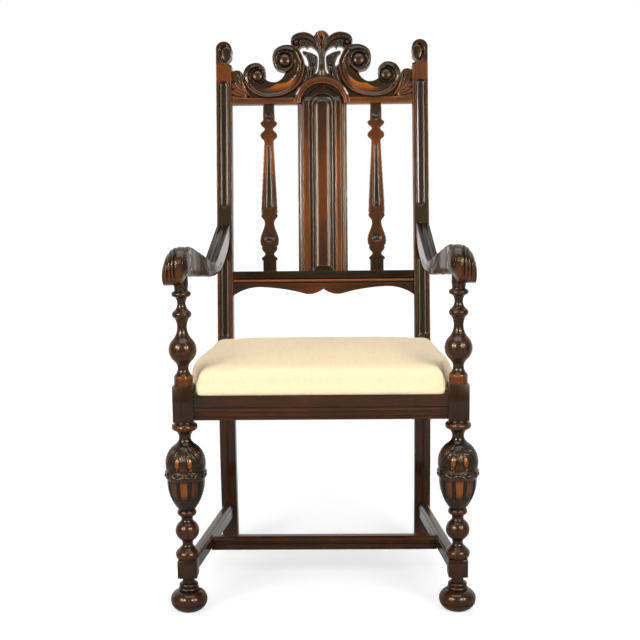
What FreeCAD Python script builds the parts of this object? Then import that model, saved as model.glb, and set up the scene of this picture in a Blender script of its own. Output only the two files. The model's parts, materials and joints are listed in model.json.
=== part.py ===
import FreeCAD, Part
import math
import os
from FreeCAD import Placement, Rotation, Vector

# The chair stands on the floor at z = 0, faces -Y and is symmetric about x = 0.
# Left is the -X side, the left of someone who looks at the front of the chair.

doc = FreeCAD.newDocument("carved_armchair")

SIZES = (
    # plan and posture
    ("front_leg_spacing", 554, "axis to axis of the front legs"),
    ("rear_post_spacing", 463, "axis to axis of the rear posts"),
    ("seat_run", 403, "front leg axis to the front face of the rear posts"),
    ("arm_overhang", 50.5, "front leg axis to the front of the hand scrolls"),
    ("bend_height", 500, "height where the rear posts start to lean"),
    ("post_height", 1200, "top of the rear posts"),
    ("back_run", 107.6, "how far the post tops lean back"),
    ("foot_kick", 18, "how far the rear feet kick back"),
    ("kick_height", 220, "height where the kick starts"),
    ("post_width", 37, "rear post, across"),
    ("post_depth", 37, "rear post, front to back"),
    # front posts
    ("seat_block", 42, "square block at the seat"),
    ("seat_block_bottom", 401, "height of its underside"),
    ("seat_block_top", 477, "height of its top"),
    ("stretcher_block", 40, "square block at the stretchers"),
    ("stretcher_block_bottom", 66.5, "height of its underside"),
    ("stretcher_block_top", 109, "height of its top"),
    ("bulb_radius", 43, "cup and cover bulb of the leg"),
    ("support_radius", 28.2, "ball of the arm support"),
    ("arm_seat_height", 678, "top of the arm support"),
    ("arm_pin_radius", 8, "round tenon into the arm"),
    ("arm_pin_length", 24, "its length"),
    # feet
    ("foot_radius", 37.6, "bun foot"),
    ("foot_pin_radius", 7.5, "round tenon of the bun foot"),
    ("foot_pin_length", 25, "its length"),
    ("glide_radius", 13, "nail-on glide"),
    ("glide_height", 2.5, "its thickness"),
    ("glide_pin_radius", 1.5, "its nail"),
    ("glide_pin_length", 14, "length of the nail"),
    # seat frame rails
    ("rail_top", 459.5, "top of the seat rails"),
    ("rail_depth", 54, "seat rail, top to bottom"),
    ("rail_thickness", 22, "seat rail, through"),
    ("rail_setback", 5, "seat rail face behind the block face"),
    ("rear_rail_setback", 4, "rear seat rail behind the post face"),
    ("rail_tenon", 15, "length of the seat rail tenons"),
    # stretchers
    ("stretcher_bottom", 75.5, "underside of the stretchers"),
    ("side_stretcher_depth", 32, "side stretcher, top to bottom"),
    ("side_stretcher_thickness", 24, "side stretcher, through"),
    ("cross_stretcher_depth", 29.5, "cross stretcher, top to bottom"),
    ("cross_stretcher_thickness", 22, "cross stretcher, through"),
    ("cross_stretcher_run", 165, "front leg axis to its front face"),
    ("stretcher_tenon", 11, "length of the stretcher tenons"),
    # back
    ("crest_drop", 146.5, "top of the rear posts to the underside of the crest rail"),
    ("crest_rise", 171, "crest rail, bottom to the palmette"),
    ("crest_thickness", 24, "crest rail, through"),
    ("crest_setback", 5, "crest face behind the post face"),
    ("arch_centre_drop", 4.5, "underside of the crest rail to the centre of its arch"),
    ("arch_radius", 52, "opening of the arch"),
    ("low_rail_top", 661, "top of the lower back rail"),
    ("low_rail_depth", 56, "lower back rail at the posts"),
    ("low_rail_thickness", 22, "lower back rail, through"),
    ("low_rail_setback", 6, "its face behind the post face"),
    ("back_tenon", 18, "length of the tenons of both back rails"),
    ("crest_tenon_depth", 50, "height of the tenons of the crest rail"),
    ("low_rail_tenon_depth", 26, "height of the tenons of the lower back rail"),
    ("groove_height", 2.5, "grooves along the lower back rail"),
    ("splat_half_width", 58, "centre splat"),
    ("splat_thickness", 16, "centre splat, through"),
    ("splat_setback", 9, "its face behind the post face"),
    ("splat_tenon", 12, "length of the splat tenons"),
    ("lap_width", 4, "how far the splat head laps behind the arch"),
    ("lap_thickness", 7, "thickness of that lap"),
    ("baluster_place", 127, "centre of the chair to a flat baluster"),
    ("baluster_half_width", 21.9, "flat baluster at its widest"),
    ("baluster_thickness", 12, "flat baluster, through"),
    ("baluster_setback", 11, "its face behind the post face"),
    ("baluster_tenon_width", 16, "tenons of the flat balusters"),
    # post flutes
    ("flute_radius", 14, "round of the flutes in the posts"),
    ("flute_depth", 5.5, "depth of those flutes"),
    ("flute_top_drop", 96.5, "top of the rear posts to the top of the upper flute"),
    ("flute_bottom_rise", 37, "arm at the post to the bottom of the upper flute"),
    ("low_flute_top_drop", 77.5, "arm at the post to the top of the lower flute"),
    ("low_flute_bottom_rise", 18, "bend of the posts to the bottom of the lower flute"),
    ("finial_rise", 62.3, "carved scroll at the top of the posts"),
    # arms
    ("roll_radius", 38.5, "hand scroll"),
    ("roll_place", 12, "hand scroll centre in front of the leg axis"),
    ("arm_end_rise", 96, "arm seat to the top of the arm at the post"),
    ("arm_end_depth", 32, "arm at the post, top to bottom"),
    ("arm_end_width", 31.5, "arm at the post, across"),
    ("arm_front_width", 50, "hand scroll, across"),
    ("arm_end_inset", 1.5, "arm side inside the post side"),
    ("arm_channel_depth", 3, "flutes along the arm"),
    ("arm_tenon_length", 16, "tenon of the arm in the post"),
    ("arm_tenon_thickness", 12, "its width"),
    ("arm_tenon_depth", 20, "its height"),
    # slip seat
    ("pad_top", 512.5, "crown of the seat"),
    ("pad_crown", 16, "rise of the crown"),
    ("pad_rise_spare", 3, "how far the sides would run on above the crown"),
    ("cover_thickness", 1.2, "silk and lining"),
    ("cover_turn_under", 26, "cloth turned under the frame"),
    ("frame_inset", 5, "seat frame inside the outline of the seat"),
    ("frame_board_thickness", 16, "boards of the seat frame"),
    ("frame_tenon_width", 14, "stub tenons of the seat frame"),
    ("frame_tenon_length", 20, "their length"),
    ("frame_tenon_thickness", 6, "their thickness"),
    ("webbing_width", 50, "seat webbing"),
    ("webbing_thickness", 1.5, "seat webbing, through"),
    ("webbing_lap", 30, "webbing lying on the frame"),
    ("webbing_spacing", 92, "between the middles of two webs"),
    ("hessian_thickness", 0.8, "sheet over the webbing"),
    ("hessian_inset", 18, "that sheet inside the outline of the seat"),
    # corner blocks and screws
    ("corner_block_leg", 75, "corner block along the rails"),
    ("corner_block_depth", 30, "corner block, top to bottom"),
    ("screw_radius", 2, "wood screw"),
    ("screw_length", 26, "screw of a corner block"),
    ("screw_bite", 14, "how far it goes into the rail"),
    ("seat_screw_length", 42, "screw of the slip seat"),
    ("screw_head_radius", 4, "its countersunk head"),
    ("screw_head_height", 3, "height of the head"),
    ("screw_tip", 5, "its tapered tip"),
    # fits
    ("tenon_thickness", 10, "flat tenons"),
    ("tenon_shoulder", 8, "rail above and below a tenon"),
    ("splat_tenon_thickness", 8, "tenons of the splats"),
    ("joint_clearance", 0.15, "play round a tenon or a pin"),
    ("soft_clearance", 0.3, "play between cloth and what it covers"),
    ("overrun", 4, "how far a cutting tool runs past"),
)

sheet = doc.addObject("Spreadsheet::Sheet", "sizes")
for row, (alias, value, meaning) in enumerate(SIZES, start=1):
    sheet.set("A%d" % row, meaning)
    sheet.set("B%d" % row, str(value))
    sheet.setAlias("B%d" % row, alias)
doc.recompute()


class Sizes:
    """Reads a driving dimension from the sheet by its alias."""

    def __getattr__(self, alias):
        return float(sheet.get(alias))


size = Sizes()

SAME_POINT = 1e-6
X_AXIS = Vector(1, 0, 0)
Y_AXIS = Vector(0, 1, 0)
Z_AXIS = Vector(0, 0, 1)

# places worked out from the driving dimensions
overall_depth = size.arm_overhang + size.seat_run + size.back_run + size.post_depth
front_y = size.arm_overhang - overall_depth / 2
post_y = front_y + size.seat_run
leg_x = size.front_leg_spacing / 2
post_x = size.rear_post_spacing / 2
back_rise = size.post_height - size.bend_height
rake = math.degrees(math.atan2(size.back_run, back_rise))
post_inner_x = post_x - size.post_width / 2
crest_half = post_inner_x
side_angle = math.degrees(math.atan2(leg_x - post_x, size.seat_run + size.post_depth / 2))
side_run = math.hypot(leg_x - post_x, size.seat_run + size.post_depth / 2)
arm_end_outer = post_x + size.post_width / 2 - size.arm_end_inset
arm_end_top = size.arm_seat_height + size.arm_end_rise
crest_bottom = size.post_height - size.crest_drop
arch_height = crest_bottom - size.arch_centre_drop
flute_top = size.post_height - size.flute_top_drop
flute_bottom = arm_end_top + size.flute_bottom_rise
low_flute_top = arm_end_top - size.low_flute_top_drop
low_flute_bottom = size.bend_height + size.low_flute_bottom_rise

front_place = Placement(Vector(0, front_y, 0), Rotation())
leg_place = Placement(Vector(-leg_x, front_y, 0), Rotation())
post_place = Placement(Vector(-post_x, post_y, 0), Rotation())
side_place = Placement(Vector(-leg_x, front_y, 0), Rotation(Z_AXIS, -side_angle))
back_place = Placement(Vector(0, post_y, size.bend_height), Rotation(X_AXIS, -rake))


def up(height):
    """Distance along the raked back of a point at a real height."""
    return (height - size.bend_height) / math.cos(math.radians(rake))


def post_face(height):
    """Distance from the front leg axis to the face of the raked post at a height."""
    return size.seat_run + size.back_run * (height - size.bend_height) / back_rise


# drawing helpers

def steps(rows, place):
    """Rows of shares as steps: two numbers are a corner, four the middle and the end of an arc."""
    return [tuple(place(row[i], row[i + 1]) for i in range(0, len(row), 2)) for row in rows]


def backwards(run):
    """The same run of steps, walked from its end to its start."""
    corners = [step[-1] for step in run]
    turned_run = [(corners[-1],)]
    for index in range(len(run) - 1, 0, -1):
        turned_run.append(run[index][:-1] + (corners[index - 1],))
    return turned_run


def mirrored(run):
    """A run that ends on the centre line, followed by its mirror image."""
    other = backwards([tuple(Vector(-p.x, p.y, p.z) for p in step) for step in run])
    return run + other[1:]


def edges(run):
    """A closed run of steps as lines and three-point arcs."""
    shapes = []
    start = run[-1][-1]
    for step in run:
        end = step[-1]
        if len(step) > 1:
            shapes.append(Part.Arc(start, step[0], end))
        elif start.distanceToPoint(end) > SAME_POINT:
            shapes.append(Part.LineSegment(start, end))
        start = end
    return shapes


def corner(x, y):
    return (Vector(x, y, 0),)


def new_body(name, place):
    body = doc.addObject("PartDesign::Body", name)
    body.Placement = place
    return body


def new_sketch(body, role, run, offset=0):
    """A closed outline on one of the body's origin planes, moved along its normal."""
    plane = [item for item in body.Origin.OriginFeatures if item.Role == role][0]
    sketch = body.newObject("Sketcher::SketchObject", body.Name + "_outline")
    sketch.AttachmentSupport = [(plane, "")]
    sketch.MapMode = "FlatFace"
    sketch.AttachmentOffset = Placement(Vector(0, 0, offset), Rotation())
    for shape in edges(run):
        sketch.addGeometry(shape)
    return sketch


def pad(body, role, run, length, offset=0, symmetric=False, reverse=False):
    """A board: an outline padded by a length that is bound to the sheet."""
    feature = body.newObject("PartDesign::Pad", body.Name + "_pad")
    feature.Profile = new_sketch(body, role, run, offset)
    feature.setExpression("Length", length)
    feature.SideType = "Symmetric" if symmetric else "One side"
    feature.Reversed = reverse
    return feature


def revolve(body, run, angle=360):
    """A turning about the body's own Z axis."""
    feature = body.newObject("PartDesign::Revolution", body.Name + "_turning")
    feature.Profile = new_sketch(body, "XZ_Plane", run)
    feature.ReferenceAxis = (feature.Profile[0], ["V_Axis"])
    feature.Angle = angle
    return feature


def add_block(body, name, length, width, height, low_corner):
    """A square block on a body, its sides bound to the sheet."""
    block = body.newObject("PartDesign::AdditiveBox", name)
    for side, expression in zip(("Length", "Width", "Height"), (length, width, height)):
        block.setExpression(side, expression)
    block.Placement = Placement(low_corner, Rotation())
    return block


def box(name, length, width, height, low_corner, place=Placement()):
    """A plain block with its sides bound to the sheet and its low corner in a given frame."""
    block = doc.addObject("Part::Box", name)
    for side, expression in zip(("Length", "Width", "Height"), (length, width, height)):
        block.setExpression(side, expression)
    block.Placement = place.multiply(Placement(low_corner, Rotation()))
    return block


def size_of(expression):
    """The value of a sum that is written for the sheet."""
    return float(sheet.evalExpression(expression.replace("sizes.", "")))


def mortise(name, length, width, height, low_corner, place):
    """The room for a flat tenon: the tenon and its play on every side."""
    play = size.joint_clearance
    grown = [text + " + 2 * sizes.joint_clearance" for text in (length, width, height)]
    return box(name, *grown, low_corner - Vector(play, play, play), place)


def rod(name, radius, height, place):
    """A round bar with its radius and length bound to the sheet."""
    cylinder = doc.addObject("Part::Cylinder", name)
    cylinder.setExpression("Radius", radius)
    cylinder.setExpression("Height", height)
    cylinder.Placement = place
    return cylinder


def cut(name, base, *tools):
    """The base with every tool taken out of it."""
    for index, tool in enumerate(tools):
        last = index == len(tools) - 1
        result = doc.addObject("Part::Cut", name if last else "%s_cut_%d" % (name, index))
        result.Base = base
        result.Tool = tool
        base = result
    return base


def fuse(name, *parts):
    result = doc.addObject("Part::MultiFuse", name)
    result.Shapes = list(parts)
    result.Refine = True
    return result


def common(name, *parts):
    result = doc.addObject("Part::MultiCommon", name)
    result.Shapes = list(parts)
    return result


def group(name, parts):
    """Several alike pieces under one name, each its own solid."""
    result = doc.addObject("Part::Compound", name)
    result.Links = list(parts)
    return result


def mirror(name, source):
    """The piece on the other side of the chair."""
    result = doc.addObject("Part::Mirroring", name)
    result.Source = source
    result.Normal = X_AXIS
    return result


def coded(name, shape):
    """A piece or a group whose shape is worked out below."""
    feature = doc.addObject("Part::Feature", name)
    feature.Shape = shape
    return feature


pieces = {}


def piece(name, result):
    """Names a finished piece: its label is its file and its node."""
    result.Label = name
    pieces[name] = result
    return result


def pair(name, result):
    """A left piece and its mirror image."""
    piece(name + "_left", result)
    piece(name + "_right", mirror(name + "_mirror", result))


CORE_SHARE = 0.33
# Each row of a turning is (height share, radius share), or an arc's middle and end.
LEG_SHARES = (
    (1, 0.465), (0.983, 0.488), (0.957, 0.616, 0.933, 0.453), (0.926, 0.407),
    (0.885, 0.281, 0.851, 0.349), (0.836, 0.442), (0.777, 0.805, 0.668, 0.923), (0.654, 0.93),
    (0.623, 1, 0.592, 0.93), (0.582, 0.891), (0.483, 0.805, 0.368, 0.402), (0.361, 0.384),
    (0.342, 0.458, 0.322, 0.386), (0.297, 0.272, 0.272, 0.349), (0.202, 0.563, 0.144, 0.337),
    (0.11, 0.249, 0.086, 0.36), (0.072, 0.442), (0.041, 0.581, 0.009, 0.512), (0, 0.488),
)
SUPPORT_SHARES = (
    (1, 0.518), (0.945, 0.472), (0.938, 0.507), (0.91, 0.699, 0.882, 0.504), (0.877, 0.447),
    (0.833, 0.312, 0.748, 0.504), (0.743, 0.539), (0.708, 0.699, 0.672, 0.539), (0.667, 0.504),
    (0.58, 0.351, 0.465, 0.645), (0.45, 0.745), (0.35, 1, 0.24, 0.617), (0.21, 0.454),
    (0.172, 0.387, 0.115, 0.514), (0.095, 0.624), (0.085, 0.667), (0, 0.667),
)
FOOT_SHARES = (
    (1, 0.354), (0.961, 0.362), (0.922, 0.404, 0.883, 0.489), (0.859, 0.543),
    (0.809, 0.596, 0.761, 0.553), (0.734, 0.553), (0.719, 0.601), (0.547, 0.894, 0.336, 1),
    (0.273, 0.989), (0.261, 0.957), (0.248, 0.981), (0.236, 0.979), (0.223, 0.947),
    (0.211, 0.963), (0.094, 0.819, 0, 0.585),
)
# Half outlines: shares of the half width and of the height, from the outside to the middle.
BALUSTER_SHARES = (
    (1, 0.571), (0.925, 0.667), (0.894, 0.895, 0.866, 0.708), (0.85, 0.461), (0.839, 0.484),
    (0.815, 0.89, 0.79, 0.566), (0.754, 0.521), (0.385, 0.849), (0.373, 0.895, 0.362, 0.776),
    (0.341, 0.9, 0.321, 0.703), (0.308, 0.548), (0.279, 0.534), (0.206, 1, 0.163, 0.731),
    (0.152, 0.831, 0.138, 0.667), (0.12, 0.493), (0.11, 0.521), (0.092, 0.84, 0.075, 0.685),
    (0, 0.685),
)
CREST_SHARES = (
    (1, 0), (1, 0.442), (0.948, 0.456), (0.883, 0.424), (0.754, 0.56, 0.627, 0.395),
    (0.627, 0.342), (0.549, 0.289, 0.441, 0.348), (0.413, 0.43), (0.549, 0.605, 0.385, 0.798),
    (0.329, 0.789), (0.35, 0.854), (0.31, 0.939, 0.235, 0.969), (0.155, 0.956, 0.103, 0.886),
    (0.082, 0.965, 0, 1),
)
CREST_HOLE_SHARES = (
    (0.258, 0.74), (0.211, 0.784, 0.169, 0.792), (0.099, 0.734, 0.075, 0.693), (0.033, 0.582),
    (0.063, 0.442), (0.094, 0.406), (0.174, 0.506, 0.207, 0.64),
)
LOW_RAIL_SHARES = (
    (1, 1), (0.873, 0.75, 0.714, 0.643), (0.432, 0.741, 0.188, 0.946), (0.075, 0.893, 0, 0.732),
)
# Splat section: shares of the half width and of the thickness, from the middle to the edge.
SPLAT_SHARES = (
    (0, 0.69), (0.21, 0.69), (0.27, 1, 0.33, 0.81), (0.41, 0.5, 0.5, 0.69),
    (0.535, 0.87, 0.57, 0.75), (0.82, 0.86), (0.94, 0.8, 1, 0.5),
)
# Seat rail section: shares of the thickness, in from the face, and of the depth, down.
RAIL_SHARES = (
    (0, 0), (0, 0.5), (0.12, 0.5), (0.12, 0.575), (0, 0.575), (0, 0.7), (0.09, 0.72),
    (0.09, 0.84), (0.2, 0.86), (0.2, 1), (1, 1), (1, 0),
)
PLAIN_SHARES = ((0, 0), (0, 1), (1, 1), (1, 0))
# Side stretcher section: shares of the half thickness and of the depth.
SIDE_STRETCHER_SHARES = ((1, 0), (1, 0.72), (0.86, 0.76), (0.72, 0.92, 0.5, 1), (0, 1))
# Cross stretcher section: shares of the thickness, in from the face, and of the depth, up.
CROSS_STRETCHER_SHARES = (
    (0, 0), (0, 0.12), (0.06, 0.15), (0.06, 0.34), (0, 0.37), (0, 0.42), (0.14, 0.45),
    (0.2, 0.56, 0.1, 0.68), (0, 0.7), (0.1, 0.88, 0.26, 1), (1, 1), (1, 0),
)
# Grooves of the lower back rail: shares of its height, down.
GROOVE_SHARES = (0.24, 0.44)
# Finial: shares of the post width, from its outer side, and of the finial height.
FINIAL_SHARES = (
    (0, 0.703), (0.5, 1, 0.97, 0.567), (0.92, 0.36, 0.74, 0.266), (0.5, 0.23), (1, 0.1), (1, 0),
)
# Arm seen from the side: shares of the arm run back from the leg axis, and of the height
# between the arm seat and the arm's end.
ARM_TOP_SHARES = ((0.745, 0.722, 0.5, 0.36), (0.42, 0.285, 0.335, 0.35), (0.18, 0.6))
ARM_UNDER_SHARES = (
    (0.04, 0), (0.08, 0.1), (0.22, 0.08), (0.42, -0.01, 0.65, 0.1), (0.83, 0.35),
)
# Arm seen from above, at places along its run: how far its inner side has come in, and how
# much of the extra width of the hand scroll is left.
ARM_PLACE_SHARES = (-0.13, 0.03, 0.28, 0.5, 1.03)
ARM_INNER_SHARES = (0, 0.02, 0.5, 0.78, 1)
ARM_WIDTH_SHARES = (1, 1, 0.25, -0.2, 0)
# Flutes along the arm: shares of its width.
ARM_CHANNEL_SHARES = ((0.16, 0.42), (0.58, 0.84))
# Slip seat, left half: shares of the half leg spacing and of the seat run, front to rear.
PAD_SHARES = (
    (0, -0.05), (0.85, -0.05), (0.889, -0.038, 0.905, -0.01), (0.905, 0.075), (0.973, 0.165),
    (1.003, 0.25, 1.009, 0.37), (0.934, 0.945), (0.92, 0.975, 0.88, 0.988), (0.76, 0.988),
    (0.755, 1.03), (0, 1.03),
)
PAD_MIDDLE_SHARE = 0.47
# Opening of the seat frame: shares of the half leg spacing and of the seat run.
OPENING_SHARES = ((-0.8, 0.1), (-0.745, 0.885), (0.745, 0.885), (0.8, 0.1))
# Middle of a side board of the frame at its two ends: shares of the half leg spacing.
FRAME_TENON_SHARES = (-0.845, -0.835)
# Webs and screws: shares of the seat run, and shares of the corner block's leg.
WEB_MIDDLE_SHARE = 0.492
RAIL_SCREW_SHARE = 0.8
FRONT_SEAT_SCREW_SHARES = (0.5, 0.11)
REAR_SEAT_SCREW_SHARES = (0.3, 0.36)
# Levels of the slip seat: share of its height, and how far its sides stand in.
PAD_LEVEL_SHARES = ((0, 0.2), (0.25, 0.04), (0.5, 0), (0.75, 0.22), (1, 1))


# front posts, with their blocks, bulbs and arm supports in one turning

def turning(rows, bottom, top, radius):
    span = top - bottom
    return steps(rows, lambda height, out: Vector(out * radius, bottom + height * span, 0))


def front_post():
    pin_top = size.arm_seat_height + size.arm_pin_length
    core = CORE_SHARE * size.stretcher_block
    run = [corner(0, pin_top), corner(size.arm_pin_radius, pin_top)]
    run += [corner(size.arm_pin_radius, size.arm_seat_height)]
    run += turning(SUPPORT_SHARES, size.seat_block_top, size.arm_seat_height, size.support_radius)
    run += [corner(core, size.seat_block_top), corner(core, size.seat_block_bottom)]
    run += turning(LEG_SHARES, size.stretcher_block_top, size.seat_block_bottom, size.bulb_radius)
    run += [corner(core, size.stretcher_block_top), corner(core, size.stretcher_block_bottom)]
    run += [corner(0, size.stretcher_block_bottom)]
    body = new_body("front_post_stock", leg_place)
    revolve(body, run)
    half_seat = size.seat_block / 2
    half_low = size.stretcher_block / 2
    add_block(body, "seat_block", "sizes.seat_block", "sizes.seat_block",
              "sizes.seat_block_top - sizes.seat_block_bottom",
              Vector(-half_seat, -half_seat, size.seat_block_bottom))
    add_block(body, "stretcher_block", "sizes.stretcher_block", "sizes.stretcher_block",
              "sizes.stretcher_block_top - sizes.stretcher_block_bottom",
              Vector(-half_low, -half_low, size.stretcher_block_bottom))
    return body


def bun_foot():
    top = size.stretcher_block_bottom
    pin_top = top + size.foot_pin_length
    run = [corner(0, pin_top), corner(size.foot_pin_radius, pin_top)]
    run += [corner(size.foot_pin_radius, top)]
    run += turning(FOOT_SHARES, size.glide_height, top, size.foot_radius)
    run += [corner(0, size.glide_height)]
    body = new_body("bun_foot_stock", leg_place)
    revolve(body, run)
    return body


def glide():
    """A domed steel button with a nail in the middle."""
    pin_top = size.glide_height + size.glide_pin_length
    rim = size.glide_height / 2
    run = [corner(0, pin_top), corner(size.glide_pin_radius, pin_top)]
    run += [corner(size.glide_pin_radius, size.glide_height)]
    run += [corner(size.glide_radius, size.glide_height), corner(size.glide_radius, rim)]
    run += [corner(size.glide_radius - rim, 0), corner(0, 0)]
    body = new_body("glide_stock", leg_place)
    revolve(body, run)
    return body


def hole(name, radius, length, place):
    """The room for a pin: the pin and its play."""
    return rod(name, "sizes.%s + sizes.joint_clearance" % radius,
               "sizes.%s + sizes.joint_clearance" % length, place)


# rear posts

def rear_post():
    side = new_body("post_side", post_place)
    run = [corner(size.foot_kick, 0), corner(0, size.kick_height), corner(0, size.bend_height)]
    run += [corner(size.back_run, size.post_height)]
    run += [corner(size.back_run + size.post_depth, size.post_height)]
    run += [corner(size.post_depth, size.bend_height), corner(size.post_depth, size.kick_height)]
    run += [corner(size.foot_kick + size.post_depth, 0)]
    pad(side, "YZ_Plane", run, "sizes.post_width", symmetric=True)
    front = new_body("post_front", post_place)
    half = size.post_width / 2
    base = size.post_height - size.finial_rise

    def place(across, rise):
        return Vector(across * size.post_width - half, base + rise * size.finial_rise, 0)

    run = [corner(-half, 0)] + steps(FINIAL_SHARES, place) + [corner(half, 0)]
    pad(front, "XZ_Plane", run, "2 * (sizes.back_run + 2 * sizes.post_depth)", symmetric=True)
    return common("rear_post_stock", side, front)


def capsule(name, low, high):
    """A long round-ended cutter for a flute between two heights of the raked post."""
    rise = size.flute_radius - size.flute_depth
    half_width = math.sqrt(size.flute_radius ** 2 - rise ** 2)
    start = up(low) + half_width
    end = up(high) - half_width
    frame = back_place.multiply(Placement(Vector(-post_x, -rise, start), Rotation()))
    radius = size.flute_radius
    slant = radius * math.sin(math.radians(45))
    run = [(Vector(0, 0, -radius),), (Vector(0, -slant, -slant), Vector(0, -radius, 0)),
           (Vector(0, -radius, end - start),),
           (Vector(0, -slant, end - start + slant), Vector(0, 0, end - start + radius))]
    face = Part.Face(Part.Wire([shape.toShape() for shape in edges(run)]))
    bar = face.revolve(Vector(), Z_AXIS, 360)
    cutter = coded(name, bar)
    cutter.Placement = frame
    return cutter


# seat rails and stretchers

def section_run(rows, thickness, depth, face, edge):
    return steps(rows, lambda inwards, along: Vector(face + inwards * thickness,
                                                     edge + along * depth, 0))


SEAT_TENON_DEPTH = "(sizes.rail_depth - 2 * sizes.tenon_shoulder)"
FRONT_RAIL_LENGTH = "(sizes.front_leg_spacing - sizes.seat_block)"
REAR_RAIL_LENGTH = "(sizes.rear_post_spacing - sizes.post_width)"
STRETCHER_TENON_DEPTH = "(sizes.cross_stretcher_depth - sizes.tenon_shoulder)"


def tenon_bar(name, build, length, reach, depth, low_corner_y, low):
    """A flat tenon that shows at both ends of a cross piece, or the mortises that take it."""
    full = "%s + 2 * sizes.%s" % (length, reach)
    return build(name, full, "sizes.tenon_thickness", depth,
                 Vector(-size_of(full) / 2, low_corner_y, low), front_place)


def seat_cross_rail(name, rows, face, length):
    """A seat rail square to the chair, and the cutter for its mortises."""
    body = new_body(name + "_board", front_place)
    run = section_run(rows, size.rail_thickness, -size.rail_depth, face, size.rail_top)
    pad(body, "YZ_Plane", run, length, symmetric=True)
    low = size.rail_top - size.rail_depth + size.tenon_shoulder
    middle = face + (size.rail_thickness - size.tenon_thickness) / 2
    bar = [tenon_bar(name + suffix, build, length, "rail_tenon", SEAT_TENON_DEPTH, middle, low)
           for suffix, build in (("_tenons", box), ("_mortises", mortise))]
    return fuse(name + "_tenoned", body, bar[0]), bar[1]


def side_bar(name, run, tenon, depth, low, middle, front_face, kick, ends):
    """A bar along the side, scribed to both posts, with a tenon at each end, and its mortises."""
    body = new_body(name + "_bar", side_place)
    pad(body, "XZ_Plane", run, str(side_run), reverse=True)
    shouldered = cut(name + "_shouldered", body, *ends)
    length = "sizes.%s + sizes.overrun" % tenon
    across = middle - size.tenon_thickness / 2
    rear_face = side_run - size.post_depth / 2 + kick
    starts = (front_face - getattr(size, tenon), rear_face - size.overrun)
    made = []
    for suffix, build in (("tenon", box), ("mortise", mortise)):
        made.append([build("%s_%s_%s" % (name, end, suffix), "sizes.tenon_thickness", length,
                           depth, Vector(across, start, low), side_place)
                     for end, start in zip(("front", "rear"), starts)])
    tenons, mortises = made
    return fuse(name + "_tenoned", shouldered, *tenons), mortises, body


def side_rail(front_stock, rear_stock):
    face = size.rail_setback - size.seat_block / 2
    run = section_run(RAIL_SHARES, size.rail_thickness, -size.rail_depth, face, size.rail_top)
    low = size.rail_top - size.rail_depth + size.tenon_shoulder
    return side_bar("side_rail", run, "rail_tenon", SEAT_TENON_DEPTH, low,
                    face + size.rail_thickness / 2, size.seat_block / 2, 0,
                    (front_stock, rear_stock))


def side_stretcher(front_stock, rear_stock):
    half = size.side_stretcher_thickness / 2
    low = size.stretcher_bottom
    right = steps(SIDE_STRETCHER_SHARES, lambda out, rise: Vector(
        out * half, low + rise * size.side_stretcher_depth, 0))
    kick = size.foot_kick * (1 - low / size.kick_height)
    return side_bar("side_stretcher", mirrored(right), "stretcher_tenon", STRETCHER_TENON_DEPTH,
                    low + size.tenon_shoulder / 2, 0, size.stretcher_block / 2, kick,
                    (front_stock, rear_stock))


def cross_stretcher(side_stock):
    """The moulded bar between the side stretchers, and the cutter for its mortises."""
    face = size.cross_stretcher_run
    run = section_run(CROSS_STRETCHER_SHARES, size.cross_stretcher_thickness,
                      size.cross_stretcher_depth, face, size.stretcher_bottom)
    lean = math.radians(side_angle)
    reach = leg_x - (face + size.cross_stretcher_thickness / 2) * math.tan(lean)
    body = new_body("cross_stretcher_bar", front_place)
    pad(body, "YZ_Plane", run, str(2 * reach), symmetric=True)
    scribed = cut("cross_stretcher_scribed", body, side_stock,
                  mirror("side_stretcher_other", side_stock))
    length = str(2 * reach - size.side_stretcher_thickness)
    middle = face + (size.cross_stretcher_thickness - size.tenon_thickness) / 2
    bar = [tenon_bar("cross_stretcher" + suffix, build, length, "stretcher_tenon",
                     STRETCHER_TENON_DEPTH, middle, size.stretcher_bottom + size.tenon_shoulder / 2)
           for suffix, build in (("_tenons", box), ("_mortises", mortise))]
    return fuse("cross_stretcher_tenoned", scribed, bar[0]), bar[1]


# back pieces, drawn upright and laid back against the rake

def back_body(name):
    return new_body(name, back_place)


def crest_rail():
    body = back_body("crest_board")
    rise = up(crest_bottom + size.crest_rise) - up(crest_bottom)
    base = up(crest_bottom)

    def place(across, height):
        return Vector(-across * crest_half, base + height * rise, 0)

    outline = mirrored(steps(CREST_SHARES, place))
    pad(body, "XZ_Plane", outline, "sizes.crest_thickness", -size.crest_setback, reverse=True)
    cutters = []
    for side in (-1, 1):
        run = steps(CREST_HOLE_SHARES, place)
        run = [tuple(Vector(side * p.x, p.y, p.z) for p in step) for step in run]
        cutter = back_body("crest_hole_%s" % ("right" if side < 0 else "left"))
        pad(cutter, "XZ_Plane", run, "sizes.crest_thickness + 2 * sizes.overrun",
            size.overrun - size.crest_setback, reverse=True)
        cutters.append(cutter)
    centre = Placement(Vector(0, size.crest_setback - size.overrun, up(arch_height)),
                       Rotation(X_AXIS, -90))
    cutters.append(rod("arch_opening", "sizes.arch_radius",
                       "sizes.crest_thickness + 2 * sizes.overrun", back_place.multiply(centre)))
    lap = size.splat_setback + size.splat_thickness - size.lap_thickness - size.joint_clearance
    centre = Placement(Vector(0, lap, up(arch_height)), Rotation(X_AXIS, -90))
    cutters.append(rod("arch_lap", "sizes.arch_radius + sizes.lap_width + sizes.joint_clearance",
                       "sizes.crest_thickness", back_place.multiply(centre)))
    return cut("crest_pierced", body, *cutters)


def half_section():
    """Half section of the splat, from its middle to its edge, its face towards -Y."""
    back = size.splat_setback + size.splat_thickness
    return back, steps(SPLAT_SHARES, lambda across, proud: Vector(
        -across * size.splat_half_width, back - proud * size.splat_thickness, 0))


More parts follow.
